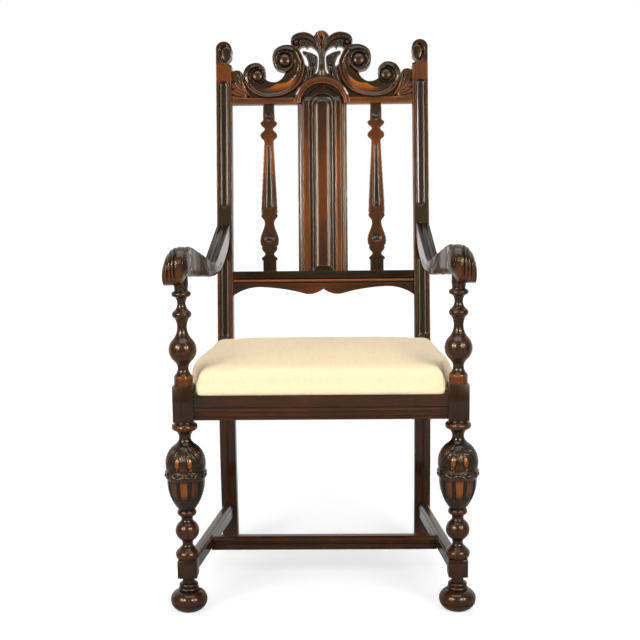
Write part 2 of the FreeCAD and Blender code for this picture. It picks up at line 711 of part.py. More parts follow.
def splat_head():
    """The top of the splat: its mouldings turned about the middle of the arch, lapped behind."""
    back, half = half_section()
    height = up(arch_height)
    radius = size.arch_radius - size.joint_clearance
    lap_radius = size.arch_radius + size.lap_width
    lap_face = back - size.lap_thickness
    run = [tuple(Vector(-p.x, p.y, height) for p in step) for step in half]
    run = [step for step in run if step[-1].x < radius]
    for x, y in ((radius, run[-1][-1].y), (radius, lap_face), (lap_radius, lap_face),
                 (lap_radius, back), (0, back)):
        run.append((Vector(x, y, height),))
    face = Part.Face(Part.Wire([shape.toShape() for shape in edges(run)]))
    head = coded("splat_head_form", face.revolve(Vector(0, 0, height), Y_AXIS, -180))
    head.Placement = back_place
    room = box("splat_head_room", "4 * sizes.splat_half_width", "sizes.post_depth",
               "2 * sizes.splat_half_width",
               Vector(-2 * size.splat_half_width, 0, up(crest_bottom)), back_place)
    return common("splat_head", head, room)


def centre_splat():
    back, half = half_section()
    body = back_body("splat_board")
    bottom = up(size.low_rail_top)
    edge_first = [(Vector(-size.splat_half_width, back, 0),)] + backwards(half)
    pad(body, "XY_Plane", mirrored(edge_first), str(up(crest_bottom) - bottom), bottom)
    return fuse("splat_with_head", body, splat_head())


def back_tenon(name, build, width, low, high, middle_x, setback, thickness, tenon):
    """A flat tenon on a back piece, or the mortise that takes it."""
    return build(name, width, "sizes." + tenon, str(high - low),
                 Vector(middle_x - size_of(width) / 2,
                        setback + (thickness - size_of("sizes." + tenon)) / 2, low), back_place)


def baluster():
    body = back_body("baluster_board")
    bottom = up(size.low_rail_top)
    span = up(crest_bottom) - bottom
    half = steps(BALUSTER_SHARES, lambda height, out: Vector(
        -out * size.baluster_half_width, bottom + height * span, 0))
    left = [tuple(Vector(p.x - size.baluster_place, p.y, 0) for p in step) for step in half]
    other = backwards([tuple(Vector(-p.x - size.baluster_place, p.y, 0) for p in step)
                       for step in half])
    pad(body, "XZ_Plane", left + other, "sizes.baluster_thickness",
        -size.baluster_setback, reverse=True)
    return body


def low_back_rail():
    body = back_body("low_rail_board")
    top = up(size.low_rail_top)
    depth = up(size.low_rail_top) - up(size.low_rail_top - size.low_rail_depth)
    lower = mirrored(steps(LOW_RAIL_SHARES, lambda across, down: Vector(
        -across * post_inner_x, top - down * depth, 0)))
    run = lower + [corner(post_inner_x, top), corner(-post_inner_x, top)]
    pad(body, "XZ_Plane", run, "sizes.low_rail_thickness", -size.low_rail_setback, reverse=True)
    grooves = []
    for index, share in enumerate(GROOVE_SHARES):
        low = top - share * depth
        grooves.append(box("low_rail_groove_%d" % index, "sizes.rear_post_spacing",
                           "sizes.overrun", "sizes.groove_height",
                           Vector(-post_x, size.low_rail_setback - size.overrun / 2, low),
                           back_place))
    return cut("low_rail_moulded", body, *grooves)


# arms

def arm_points():
    """Places on the arm seen from the side, from the leg axis back and from the floor up."""
    run = post_face(arm_end_top)
    rise = size.arm_end_rise
    return run, rise


def arm_side_run(skin=0):
    """The arm from the side; with a skin, only the layer of that depth along its top."""
    reach, rise = arm_points()
    seat = size.arm_seat_height
    end_low = arm_end_top - size.arm_end_depth

    def place(back, height):
        return Vector(back * reach, seat + height * rise, 0)

    roll_z = seat + size.roll_radius
    roll_top = Vector(-size.roll_place, roll_z + size.roll_radius, 0)
    roll_front = Vector(-size.roll_place - size.roll_radius, roll_z, 0)
    roll_low = Vector(-size.roll_place, roll_z - size.roll_radius, 0)
    top = [corner(post_face(arm_end_top), arm_end_top)]
    top += steps(ARM_TOP_SHARES, place) + [(roll_top,)]
    if not skin:
        under = steps(ARM_UNDER_SHARES, place) + [corner(post_face(end_low), end_low)]
        return top + [(roll_front, roll_low)] + under
    drop = Vector(0, -skin, 0)
    lowered = [tuple(p + drop for p in step) for step in backwards(top)]
    inner_front = roll_front + Vector(skin, 0, 0)
    inner_low = roll_low + Vector(0, skin, 0)
    return top + [(roll_front, roll_low), (inner_low,), (inner_front, lowered[0][0])] + lowered[1:]


def arm_plan_run(low_share=0, high_share=1):
    """The arm from above, or only a lengthwise strip between two shares of its width."""
    reach = post_face(arm_end_top)
    front_inner = leg_x - size.seat_block / 2
    end_inner = arm_end_outer - size.arm_end_width

    def place(back, width_share):
        inner = front_inner - side_share(ARM_INNER_SHARES, back) * (front_inner - end_inner)
        width = size.arm_end_width + side_share(ARM_WIDTH_SHARES, back) * (
            size.arm_front_width - size.arm_end_width)
        return Vector(-(inner + width_share * width), back * reach, 0)

    def edge(width_share):
        start, low, bend, high, end = [place(back, width_share) for back in ARM_PLACE_SHARES]
        return [(start,), (low,), (bend, high), (end,)]

    return edge(low_share) + backwards(edge(high_share))


def side_share(table, back):
    """The share that a table gives at a place along the arm."""
    return dict(zip(ARM_PLACE_SHARES, table))[back]


def arm():
    side = new_body("arm_side", front_place)
    pad(side, "YZ_Plane", arm_side_run(), "sizes.front_leg_spacing", -size.front_leg_spacing)
    plan = new_body("arm_plan", front_place)
    pad(plan, "XY_Plane", arm_plan_run(), "sizes.post_height")
    skin = new_body("arm_skin", front_place)
    pad(skin, "YZ_Plane", arm_side_run(size.arm_channel_depth), "sizes.front_leg_spacing",
        -size.front_leg_spacing)
    channels = []
    for index, (low, high) in enumerate(ARM_CHANNEL_SHARES):
        strip = new_body("arm_strip_%d" % index, front_place)
        pad(strip, "XY_Plane", arm_plan_run(low, high), "sizes.post_height")
        channels.append(common("arm_channel_%d" % index, skin, strip))
    return cut("arm_fluted", common("arm_blank", side, plan), *channels)


# slip seat

def seat_outline(inset, height=0):
    """The outline of the slip seat from above, drawn in by an inset."""
    middle = PAD_MIDDLE_SHARE * size.seat_run
    across = 1 - inset / leg_x
    along = 1 - 2 * inset / size.seat_run
    left = steps(PAD_SHARES, lambda x, y: Vector(
        -x * leg_x * across, middle + (y * size.seat_run - middle) * along, height))
    right = backwards([tuple(Vector(-p.x, p.y, p.z) for p in step) for step in left])
    return left + right[1:]


def pad_form(name, inset, low, crown_top):
    """The seat's soft shape between a low plane and its crown, drawn in by an inset."""
    top = size.pad_top + size.pad_rise_spare
    levels = []
    for height, draw_in in PAD_LEVEL_SHARES:
        run = seat_outline(inset + draw_in * size.pad_crown, low + height * (top - low))
        levels.append(Part.Wire([shape.toShape() for shape in edges(run)]))
    radius = leg_x ** 2 / (2 * size.pad_crown)
    middle = PAD_MIDDLE_SHARE * size.seat_run
    dome = Part.makeSphere(radius, Vector(0, middle, crown_top - radius))
    form = coded(name, Part.makeLoft(levels, True).common(dome))
    form.Placement = front_place
    return form


def seat_sheet(name, inset, low, thickness):
    """A flat layer of the seat: its outline padded up from a height."""
    body = new_body(name, front_place)
    pad(body, "XY_Plane", seat_outline(inset), thickness, low)
    return body


frame_low = size.rail_top + size.cover_thickness + size.soft_clearance
frame_top = frame_low + size.frame_board_thickness
hessian_low = frame_top + 2 * size.webbing_thickness
hessian_top = hessian_low + size.hessian_thickness


def frame_tenon(end, share, front, build):
    """A stub tenon between a side board of the frame and a cross board, or its mortise."""
    reach = "2 * sizes.frame_tenon_length"
    low = frame_low + (size.frame_board_thickness - size.frame_tenon_thickness) / 2
    start = Vector(share * leg_x - size.frame_tenon_width / 2, front - size.frame_tenon_length, low)
    return build("frame_%s_%s" % (end, build.__name__), "sizes.frame_tenon_width", reach,
                 "sizes.frame_tenon_thickness", start, front_place)


def frame_slice(name, ring, start, end):
    """The part of the frame between two places along the seat."""
    room = box(name + "_room", "2 * sizes.front_leg_spacing", str(end - start),
               "sizes.post_height", Vector(-size.front_leg_spacing, start, 0), front_place)
    return common(name + "_board", ring, room)


def seat_frame():
    """The front, rear and left boards of the loose seat's frame."""
    outer = seat_sheet("frame_outline", size.frame_inset, frame_low,
                       "sizes.frame_board_thickness")
    opening = new_body("frame_opening", front_place)
    run = [corner(x * leg_x, y * size.seat_run) for x, y in OPENING_SHARES]
    pad(opening, "XY_Plane", run, "sizes.post_height")
    ring = cut("frame_ring", outer, opening)
    front, rear = [share * size.seat_run for _, share in OPENING_SHARES[:2]]
    lengths = {"front": (-size.seat_run, front), "side": (front, rear),
               "rear": (rear, 2 * size.seat_run)}
    board = {end: frame_slice("frame_" + end, ring, *span) for end, span in lengths.items()}
    ends = list(zip(("front", "rear"), FRAME_TENON_SHARES, (front, rear)))
    tenons = [frame_tenon(*end, box) for end in ends]
    mortises = [frame_tenon(*end, mortise) for end in ends]
    left_half = box("frame_left_room", "sizes.front_leg_spacing", "2 * sizes.seat_run",
                    "sizes.post_height", Vector(-size.front_leg_spacing, 0, 0), front_place)
    side = fuse("frame_side_tenoned", common("frame_side_left", board["side"], left_half),
                *tenons)
    made = [side]
    for end, room in zip(("front", "rear"), mortises):
        made.append(cut("frame_%s_mortised" % end, board[end], room,
                        mirror("frame_%s_room_other" % end, room)))
    return made


def webbing():
    """Three webs from front to rear, and three across on top of them."""
    webs = []
    _, front = OPENING_SHARES[0]
    _, rear = OPENING_SHARES[1]
    run = (rear - front) * size.seat_run + 2 * size.webbing_lap
    width = 2 * (-OPENING_SHARES[1][0]) * leg_x + 2 * size.webbing_lap
    middle = WEB_MIDDLE_SHARE * size.seat_run
    for index in (-1, 0, 1):
        shift = index * size.webbing_spacing
        low = Vector(shift - size.webbing_width / 2, middle - run / 2, frame_top)
        webs.append(box("web_along_%d" % (index + 1), "sizes.webbing_width", str(run),
                        "sizes.webbing_thickness", low, front_place))
        low = Vector(-width / 2, middle + shift - size.webbing_width / 2,
                     frame_top + size.webbing_thickness)
        webs.append(box("web_across_%d" % (index + 1), str(width), "sizes.webbing_width",
                        "sizes.webbing_thickness", low, front_place))
    return group("webs", webs)


def seat_stuffing():
    inset = size.cover_thickness + size.soft_clearance
    core = pad_form("stuffing_form", inset, frame_low, size.pad_top - inset)
    room = box("stuffing_room", "2 * sizes.front_leg_spacing", "2 * sizes.seat_run",
               str(size.pad_top - hessian_top),
               Vector(-size.front_leg_spacing, -size.seat_run / 2, hessian_top), front_place)
    return common("stuffing_body", core, room)


def seat_cover():
    """The cloth drawn over the seat and turned under the frame, open in the middle below."""
    inset = size.cover_thickness
    outer = pad_form("cover_form", 0, size.rail_top, size.pad_top)
    inner = pad_form("cover_inside", inset, size.rail_top + inset, size.pad_top - inset)
    opening = seat_sheet("cover_opening", size.cover_turn_under, size.rail_top - size.overrun,
                         "sizes.cover_thickness + 2 * sizes.overrun")
    return cut("cover_sewn", outer, inner, opening)


def dust_cloth():
    return seat_sheet("dust_cloth_sheet", size.cover_turn_under + size.soft_clearance,
                      size.rail_top, "sizes.cover_thickness")


# corner blocks and screws

def screw_form(length, play=0, recess=0):
    """A countersunk screw that points along +Z, its head at 0; with play it is its hole."""
    radius = size.screw_radius + play
    head = size.screw_head_radius + play
    full = length + play
    points = [(0, -recess), (head, -recess), (head, 0), (radius, size.screw_head_height),
              (radius, full - size.screw_tip), (0, full)]
    if not recess:
        points = points[2:]
        points.insert(0, (0, 0))
    corners = [Vector(x, 0, z) for x, z in points]
    face = Part.Face(Part.makePolygon(corners + corners[:1]))
    return face.revolve(Vector(), Z_AXIS, 360)


class Corner:
    """One corner of the seat: where the rails' inner faces meet, and which way they run."""

    def __init__(self, name, face, away, seat_screw):
        lean = math.radians(side_angle)
        inwards = size.rail_setback - size.seat_block / 2 + size.rail_thickness
        run = (face + inwards * math.sin(lean)) / math.cos(lean)
        x = -leg_x + inwards * math.cos(lean) + run * math.sin(lean)
        self.name = name
        self.start = Vector(x, front_y + face, 0)
        self.side = Vector(math.sin(lean), math.cos(lean), 0) * away
        self.side_in = Vector(math.cos(lean), -math.sin(lean), 0)
        self.cross_in = Vector(0, away, 0)
        self.seat_screw = seat_screw

    def block(self):
        leg = size.corner_block_leg
        body = new_body("corner_block_%s_stock" % self.name, Placement(self.start, Rotation()))
        run = [corner(0, 0), corner(leg, 0), (self.side * leg,)]
        pad(body, "XY_Plane", run, "sizes.corner_block_depth",
            size.rail_top - size.corner_block_depth)
        return body

    def screws(self, play=0):
        """The two screws into the rails, or their holes."""
        height = size.rail_top - size.corner_block_depth / 2
        made = []
        for along, inwards in ((X_AXIS, self.cross_in), (self.side, self.side_in)):
            at = self.start + along * (RAIL_SCREW_SHARE * size.corner_block_leg)
            at += inwards * (size.screw_length - size.screw_bite) + Z_AXIS * height
            recess = size.corner_block_leg if play else 0
            shape = screw_form(size.screw_length, play, recess)
            shape.Placement = Placement(at, Rotation(Z_AXIS, inwards * -1))
            made.append(shape)
        return made

    def seat_screws(self, play=0):
        """The screw up into the seat frame, or its hole."""
        along, inwards = [share * size.corner_block_leg for share in self.seat_screw]
        at = self.start + X_AXIS * along + self.cross_in * inwards
        at += Z_AXIS * (size.rail_top - size.corner_block_depth)
        recess = size.overrun if play else 0
        shape = screw_form(size.seat_screw_length, play, recess)
        shape.Placement = Placement(at, Rotation())
        return [shape]


def placed(name, shapes):
    return [coded("%s_%d" % (name, index), shape) for index, shape in enumerate(shapes)]


# the whole chair

corners = (
    Corner("front", size.rail_setback - size.seat_block / 2 + size.rail_thickness, 1,
           FRONT_SEAT_SCREW_SHARES),
    Corner("rear", size.seat_run + size.rear_rail_setback, -1, REAR_SEAT_SCREW_SHARES),
)
play = size.joint_clearance
rail_screw_rooms = [placed("rail_screw_room_" + at.name, at.screws(play)) for at in corners]
seat_screw_rooms = [placed("seat_screw_room_" + at.name, at.seat_screws(play)) for at in corners]
left_seat_rooms = [room for rooms in seat_screw_rooms for room in rooms]
both_seat_rooms = left_seat_rooms + [mirror(room.Name + "_other", room)
                                     for room in left_seat_rooms]
(front_cross_room, front_side_room), (rear_cross_room, rear_side_room) = rail_screw_rooms


def both_sides(room):
    return [room, mirror(room.Name + "_other", room)]


front_stock = front_post()
rear_stock = rear_post()
front_rail, front_mortise = seat_cross_rail(
    "front_rail", RAIL_SHARES, size.rail_setback - size.seat_block / 2, FRONT_RAIL_LENGTH)
rear_rail, rear_mortise = seat_cross_rail(
    "rear_rail", PLAIN_SHARES, size.seat_run + size.rear_rail_setback, REAR_RAIL_LENGTH)
side_seat_rail, side_mortises, side_rail_bar = side_rail(front_stock, rear_stock)
side_low_bar, low_mortises, side_low_stock = side_stretcher(front_stock, rear_stock)
cross_low_bar, cross_mortise = cross_stretcher(side_low_stock)


def feet():
    """The bun feet on their pins, and the glides nailed under them."""
    pin_base = leg_place.multiply(Placement(Vector(0, 0, size.stretcher_block_bottom), Rotation()))
    nail_base = leg_place.multiply(Placement(Vector(0, 0, size.glide_height), Rotation()))
    pair("bun_foot", cut("foot_drilled", bun_foot(),
                         hole("glide_hole", "glide_pin_radius", "glide_pin_length", nail_base)))
    pair("foot_glide", glide())
    return hole("foot_hole", "foot_pin_radius", "foot_pin_length", pin_base)


def arm_tenon(build):
    """The tenon of the arm in the rear post, or its mortise."""
    middle = arm_end_outer - size.arm_end_width / 2
    height = up(arm_end_top - size.arm_end_depth / 2)
    low = Vector(-middle - size.arm_tenon_thickness / 2, -size.overrun,
                 height - size.arm_tenon_depth / 2)
    return build("arm_end_" + build.__name__, "sizes.arm_tenon_thickness",
                 "sizes.arm_tenon_length + sizes.overrun", "sizes.arm_tenon_depth", low,
                 back_place)


def arms():
    pin_base = leg_place.multiply(Placement(Vector(0, 0, size.arm_seat_height), Rotation()))
    tenoned = fuse("arm_tenoned", arm(), arm_tenon(box))
    pair("arm", cut("arm_drilled", tenoned,
                    hole("arm_hole", "arm_pin_radius", "arm_pin_length", pin_base)))


LOW_RAIL_FULL_WIDTH = "2 * (sizes.rear_post_spacing / 2 - sizes.post_width / 2 + sizes.back_tenon)"
SPLAT_TENON_WIDTH = "2 * (sizes.splat_half_width - sizes.tenon_shoulder)"


def crest_tenon(build, suffix):
    """The left or right tenon of the crest rail, or its mortise."""
    low = up(crest_bottom) + size.tenon_shoulder
    side = -1 if suffix == "left" else 1
    middle = side * (post_inner_x + (size.back_tenon - size.overrun) / 2)
    return back_tenon("crest_%s_%s" % (suffix, build.__name__), build,
                      "sizes.back_tenon + sizes.overrun", low, low + size.crest_tenon_depth,
                      middle, size.crest_setback, size.crest_thickness, "tenon_thickness")


def low_rail_tenon(build):
    """The tenons at both ends of the lower back rail, or their mortises."""
    high = up(size.low_rail_top) - size.tenon_shoulder
    return back_tenon("low_rail_" + build.__name__, build, LOW_RAIL_FULL_WIDTH,
                      high - size.low_rail_tenon_depth, high, 0, size.low_rail_setback,
                      size.low_rail_thickness, "tenon_thickness")


def splat_tenon(build):
    low = up(size.low_rail_top)
    return back_tenon("splat_" + build.__name__, build, SPLAT_TENON_WIDTH,
                      low - size.splat_tenon, low + size.overrun, 0, size.splat_setback,
                      size.splat_thickness, "splat_tenon_thickness")


def baluster_tenon(build, end):
    """The upper or lower tenon of the left flat baluster, or its mortise."""
    if end == "low":
        low = up(size.low_rail_top) - size.splat_tenon
    else:
        low = up(crest_bottom) - size.overrun
    return back_tenon("baluster_%s_%s" % (end, build.__name__), build,
                      "sizes.baluster_tenon_width", low, low + size.splat_tenon + size.overrun,
                      -size.baluster_place, size.baluster_setback, size.baluster_thickness,
                      "splat_tenon_thickness")


def back():
    """The crest rail, the lower back rail, the splat and the flat balusters."""
    crest = fuse("crest_tenoned", crest_rail(), crest_tenon(box, "left"),
                 crest_tenon(box, "right"))
    piece("crest_rail", cut("crest_mortised", crest,
                            *both_sides(baluster_tenon(mortise, "high"))))
    rail = fuse("low_rail_tenoned", low_back_rail(), low_rail_tenon(box))
    piece("lower_back_rail", cut("low_rail_mortised", rail, splat_tenon(mortise),
                                 *both_sides(baluster_tenon(mortise, "low"))))
    piece("centre_splat", fuse("splat_tenoned", centre_splat(), splat_tenon(box)))
    pair("baluster_splat", fuse("baluster_tenoned", baluster(), baluster_tenon(box, "low"),
                                baluster_tenon(box, "high")))


def posts(foot_hole):
    """The turned front posts and the raked rear posts, with the rooms for what they hold."""
    pair("front_post", cut("front_post_mortised", front_stock, front_mortise, side_mortises[0],
                           low_mortises[0], foot_hole))
    flutes = [capsule("upper_flute", flute_bottom, flute_top),
              capsule("lower_flute", low_flute_bottom, low_flute_top)]
    pair("rear_post", cut("rear_post_mortised", rear_stock, *flutes, rear_mortise,
                          side_mortises[1], low_mortises[1], crest_tenon(mortise, "left"),
                          low_rail_tenon(mortise), arm_tenon(mortise)))


def rails():
    piece("front_seat_rail", cut("front_rail_drilled", front_rail, *both_sides(front_cross_room)))
    piece("rear_seat_rail", cut("rear_rail_drilled", rear_rail, *both_sides(rear_cross_room)))
    pair("side_seat_rail", cut("side_rail_drilled", side_seat_rail, front_side_room,
                               rear_side_room))
    pair("side_stretcher", cut("side_stretcher_mortised", side_low_bar, cross_mortise))
    piece("cross_stretcher", cross_low_bar)


def corner_blocks():
    """The glued and screwed blocks in the seat's corners, with all their screws."""
    rail_screws = []
    seat_screws = []
    for at, rail_rooms, seat_rooms in zip(corners, rail_screw_rooms, seat_screw_rooms):
        pair("corner_block_" + at.name,
             cut("corner_block_%s_fitted" % at.name, at.block(), front_stock, rear_stock,
                 *rail_rooms, *seat_rooms))
        rail_screws += placed("rail_screw_" + at.name, at.screws())
        seat_screws += placed("seat_screw_" + at.name, at.seat_screws())
    for name, screws in (("corner_block_screws", rail_screws), ("seat_screws", seat_screws)):
        others = [mirror(screw.Name + "_other", screw) for screw in screws]
        piece(name, group(name + "_group", screws + others))


def loose_seat():
    """The slip seat, screwed to the corner blocks from below."""
    side, front, rear = seat_frame()
    front_rooms = both_seat_rooms[::2]
    rear_rooms = both_seat_rooms[1::2]
    piece("seat_frame_front", cut("frame_front_drilled", front, *front_rooms))
    piece("seat_frame_rear", cut("frame_rear_drilled", rear, *rear_rooms))
    pair("seat_frame_side", side)
    piece("seat_webbing", webbing())
    piece("seat_hessian", seat_sheet("hessian_sheet", size.hessian_inset, hessian_low,
                                     "sizes.hessian_thickness"))
    piece("seat_stuffing", seat_stuffing())
    piece("seat_cover", cut("cover_pierced", seat_cover(), *both_seat_rooms))
    piece("seat_dust_cloth", cut("dust_cloth_pierced", dust_cloth(), *both_seat_rooms))


posts(feet())
rails()
corner_blocks()
back()
arms()
loose_seat()


def check_state():
    doc.recompute()
    for item in doc.Objects:
        if "Invalid" in item.State or "Error" in item.State:
            raise RuntimeError("%s did not recompute" % item.Name)
    for name, result in pieces.items():
        shape = result.Shape
        if shape.isNull() or not shape.isValid() or not shape.Solids:
            raise RuntimeError("%s has no valid solid" % name)


check_state()
os.makedirs("parts", exist_ok=True)
for name, result in pieces.items():
    result.Shape.exportStep("parts/%s.step" % name)
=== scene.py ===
import json
import math

import bmesh
import bpy
import numpy as np
from mathutils import Matrix, Vector


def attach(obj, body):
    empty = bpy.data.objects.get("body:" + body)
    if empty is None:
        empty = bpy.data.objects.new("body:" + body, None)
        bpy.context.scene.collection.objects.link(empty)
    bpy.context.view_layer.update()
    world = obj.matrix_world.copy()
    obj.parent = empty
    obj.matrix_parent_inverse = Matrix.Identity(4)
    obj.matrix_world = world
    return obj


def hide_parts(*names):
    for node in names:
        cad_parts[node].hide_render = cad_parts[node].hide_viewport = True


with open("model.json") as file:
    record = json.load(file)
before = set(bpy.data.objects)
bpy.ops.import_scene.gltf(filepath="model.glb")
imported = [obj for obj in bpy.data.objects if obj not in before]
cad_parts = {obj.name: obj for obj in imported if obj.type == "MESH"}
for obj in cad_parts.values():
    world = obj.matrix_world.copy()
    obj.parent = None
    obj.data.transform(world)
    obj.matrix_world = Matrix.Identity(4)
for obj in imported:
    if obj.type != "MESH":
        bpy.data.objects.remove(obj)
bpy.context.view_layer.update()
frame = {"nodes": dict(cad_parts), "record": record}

# The chair stands at z = 0 and faces -Y. Drawing sizes here are in millimetres.
MM = 0.001
FRONT_Y = -248.55  # axis of the front legs
LEG_X, POST_X = 277.0, 231.5  # half the distance between the legs, and between the posts
SEAT_RUN = 403.0  # from the legs' axis to the front face of the posts
POST_Y = FRONT_Y + SEAT_RUN
POST = 37.0  # thickness of a post
BEND, POST_TOP = 500.0, 1200.0  # the posts lean back above the bend
LEAN = 107.6
RAKE = math.atan2(LEAN, POST_TOP - BEND)
KICK, KICK_TOP = 18, 220  # how far the posts' feet stand back, and from what height
LEFT_FIRST, RIGHT_FIRST = ("_left", "_right"), ("_right", "_left")


# ---------------------------------------------------------------- drawing tools

def along(rows, arc_points=9):
    """Rows of corners and three-point arcs as one dense line of points."""
    points = []
    for row in rows:
        if len(row) == 2 or not points:
            points.append(np.array(row[-2:], float))
            continue
        a, b, c = points[-1], np.array(row[:2], float), np.array(row[2:], float)
        d = 2 * (a[0] * (b[1] - c[1]) + b[0] * (c[1] - a[1]) + c[0] * (a[1] - b[1]))
        if abs(d) < 1e-9:
            points.append(c)
            continue
        sq = [p @ p for p in (a, b, c)]
        centre = np.array([
            (sq[0] * (b[1] - c[1]) + sq[1] * (c[1] - a[1]) + sq[2] * (a[1] - b[1])) / d,
            (sq[0] * (c[0] - b[0]) + sq[1] * (a[0] - c[0]) + sq[2] * (b[0] - a[0])) / d])
        turn = [math.atan2(*(p - centre)[::-1]) for p in (a, b, c)]
        first = (turn[1] - turn[0]) % (2 * math.pi)
        whole = (turn[2] - turn[0]) % (2 * math.pi)
        if first > whole:
            whole -= 2 * math.pi
        radius = np.linalg.norm(a - centre)
        for step in range(1, arc_points + 1):
            angle = turn[0] + whole * step / arc_points
            points.append(centre + radius * np.array([math.cos(angle), math.sin(angle)]))
    return np.array(points)


def mapped(rows, move):
    """Rows of corners and arcs with every point moved."""
    return [tuple(v for k in range(0, len(row), 2) for v in move(*row[k:k + 2]))
            for row in rows]


def resample(points, step):
    """The same line with points no further apart than a step, its corners kept."""
    out = [points[0]]
    for a, b in zip(points[:-1], points[1:]):
        count = max(1, math.ceil(np.linalg.norm(b - a) / step))
        out += [a + (b - a) * k / count for k in range(1, count + 1)]
    return np.array(out)


def spline(a, b, c, d, t):
    """A place between b and c on the smooth curve through four points."""
    return 0.5 * (2 * b + (c - a) * t + (2 * a - 5 * b + 4 * c - d) * t ** 2
                  + (3 * b - a - 3 * c + d) * t ** 3)


def smooth_loop(points, per_side=8):
    """A closed smooth curve through the points."""
    p = np.array(points, float)
    before, after, further = np.roll(p, 1, 0), np.roll(p, -1, 0), np.roll(p, -2, 0)
    return np.stack([spline(before, p, after, further, k / per_side)
                     for k in range(per_side)], 1).reshape(-1, 2)


def smooth_line(points, per_side=8):
    """An open smooth curve through the points."""
    p = np.array(points, float)
    p = np.vstack([2 * p[0] - p[1], p, 2 * p[-1] - p[-2]])
    out = [spline(*near, k / per_side) for near in zip(p[:-3], p[1:-2], p[2:-1], p[3:])
           for k in range(per_side)]
    return np.array(out + [p[-2]])


def distance(x, z, line, closed=False, side=False):
    """Distance of grid points to a line; signed if it is closed (inside is negative) or if
    the side of an open line counts (its left is positive)."""
    line = np.asarray(line, float)
    ends = np.roll(line, -1, 0) if closed else line[1:]
    starts = line if closed else line[:-1]
    best = np.full(x.shape, 1e9)
    flag = np.zeros(x.shape, bool)
    for (ax, az), (bx, bz) in zip(starts, ends):
        dx, dz = bx - ax, bz - az
        length = dx * dx + dz * dz
        if length < 1e-12:
            continue
        px, pz = x - ax, z - az
        t = np.clip((px * dx + pz * dz) / length, 0, 1)
        here = (px - t * dx) ** 2 + (pz - t * dz) ** 2
        if side:
            flag = np.where(here < best, dx * pz - dz * px > 0, flag)
        best = np.minimum(best, here)
        if closed and abs(dz) > 1e-12:
            flag ^= ((az > z) != (bz > z)) & (x < dx * (z - az) / dz + ax)
    best = np.sqrt(best)
    if side:
        return np.where(flag, best, -best)
    return np.where(flag, -best, best) if closed else best


def blur(a, cells):
    """A box blur, run twice along every axis of a grid."""
    cells = max(1, int(cells))
    kernel = np.ones(2 * cells + 1) / (2 * cells + 1)
    for _ in range(2):
        for axis in range(a.ndim):
            pad = [(cells, cells) if k == axis else (0, 0) for k in range(a.ndim)]
            a = np.apply_along_axis(lambda v: np.convolve(v, kernel, "valid"), axis,
                                    np.pad(a, pad, mode="edge"))
    return a


def bump_edge(depth, radius):
    """How far a rounded edge falls away, at a depth inside its outline."""
    d = np.clip(depth, 0, radius)
    return radius - np.sqrt(np.maximum(radius ** 2 - (radius - d) ** 2, 0))


def bell(a, width):
    return np.exp(-(a / width) ** 2)


def smooth_step(a, low, high):
    t = np.clip((a - low) / (high - low), 0, 1)
    return t * t * (3 - 2 * t)


def back_point(p, setback):
    """Points (x, height) of the raked back at a setback, in the part's frame."""
    x, height = p[..., 0], p[..., 1]
    up = (height - BEND) / math.cos(RAKE)
    y = POST_Y + setback * math.cos(RAKE) + up * math.sin(RAKE)
    z = BEND - setback * math.sin(RAKE) + up * math.cos(RAKE)
    return np.stack([x, y, z], -1)


# ---------------------------------------------------------------- mesh tools

def link(name, data):
    """A new object in the scene."""
    item = bpy.data.objects.new(name, data)
    bpy.context.scene.collection.objects.link(item)
    return item


def stand_for(piece, slot, *nodes):
    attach(piece, "root")
    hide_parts(*nodes)


class Solid:
    """Collects points, faces and tones of one piece."""

    def __init__(self):
        self.points, self.faces, self.tones, self.dulls, self.count = [], [], [], [], 0

    def add(self, points, faces, tone, dull=0.0):
        self.points.append(np.asarray(points, float).reshape(-1, 3))
        self.faces += [[i + self.count for i in f] for f in faces]
        n = len(self.points[-1])
        for store, values in ((self.tones, tone), (self.dulls, dull)):
            store.append(np.broadcast_to(np.asarray(values, float).ravel(), (n,)))
        self.count += n

    def grid(self, points, tone, wrap=False, flip=False, dull=0.0):
        """A sheet of quads over rows and columns of points."""
        rows, cols = points.shape[:2]
        index = np.arange(rows * cols).reshape(rows, cols)
        right = np.roll(index, -1, 1) if wrap else index[:, 1:]
        left = index if wrap else index[:, :-1]
        quads = np.stack([left[:-1], right[:-1], right[1:], left[1:]], -1).reshape(-1, 4)
        if flip:
            quads = quads[:, ::-1]
        self.add(points, quads.tolist(), tone, dull)

    def cap(self, points, tone=0.4, flip=False):
        """One flat face through a ring of points."""
        order = list(range(len(points)))
        self.add(points, [order[::-1] if flip else order], tone)

    def finish(self, name, material, node, sides=("",), sharp=50, closed=True):
        """Makes the piece, and its mirror image where a second side is named."""
        mesh = bpy.data.meshes.new(name + sides[0])
        mesh.from_pydata((np.vstack(self.points) * MM).tolist(), [], self.faces)
        # tone carries the stain's own colour together with painted shade and painted highlight
        for label, values in (("tone", self.tones), ("dull", self.dulls)):
            layer = mesh.attributes.new(label, "FLOAT", "POINT")
            values = np.clip(np.concatenate(values), 0, 1)
            layer.data.foreach_set("value", values.astype(np.float32))
        work = bmesh.new()
        work.from_mesh(mesh)
        bmesh.ops.remove_doubles(work, verts=work.verts, dist=0.01 * MM)
        if closed:
            bmesh.ops.recalc_face_normals(work, faces=work.faces)
        work.to_mesh(mesh)
        work.free()
        mesh.shade_smooth()
        mesh.set_sharp_from_angle(angle=math.radians(sharp))
        mesh.materials.append(material)
        for side in sides:
            if side != sides[0]:
                mesh = mesh.copy()
                mesh.transform(Matrix.Diagonal((-1, 1, 1, 1)))
                mesh.flip_normals()
            stand_for(link(name + side, mesh), "dark_wood", node + side)


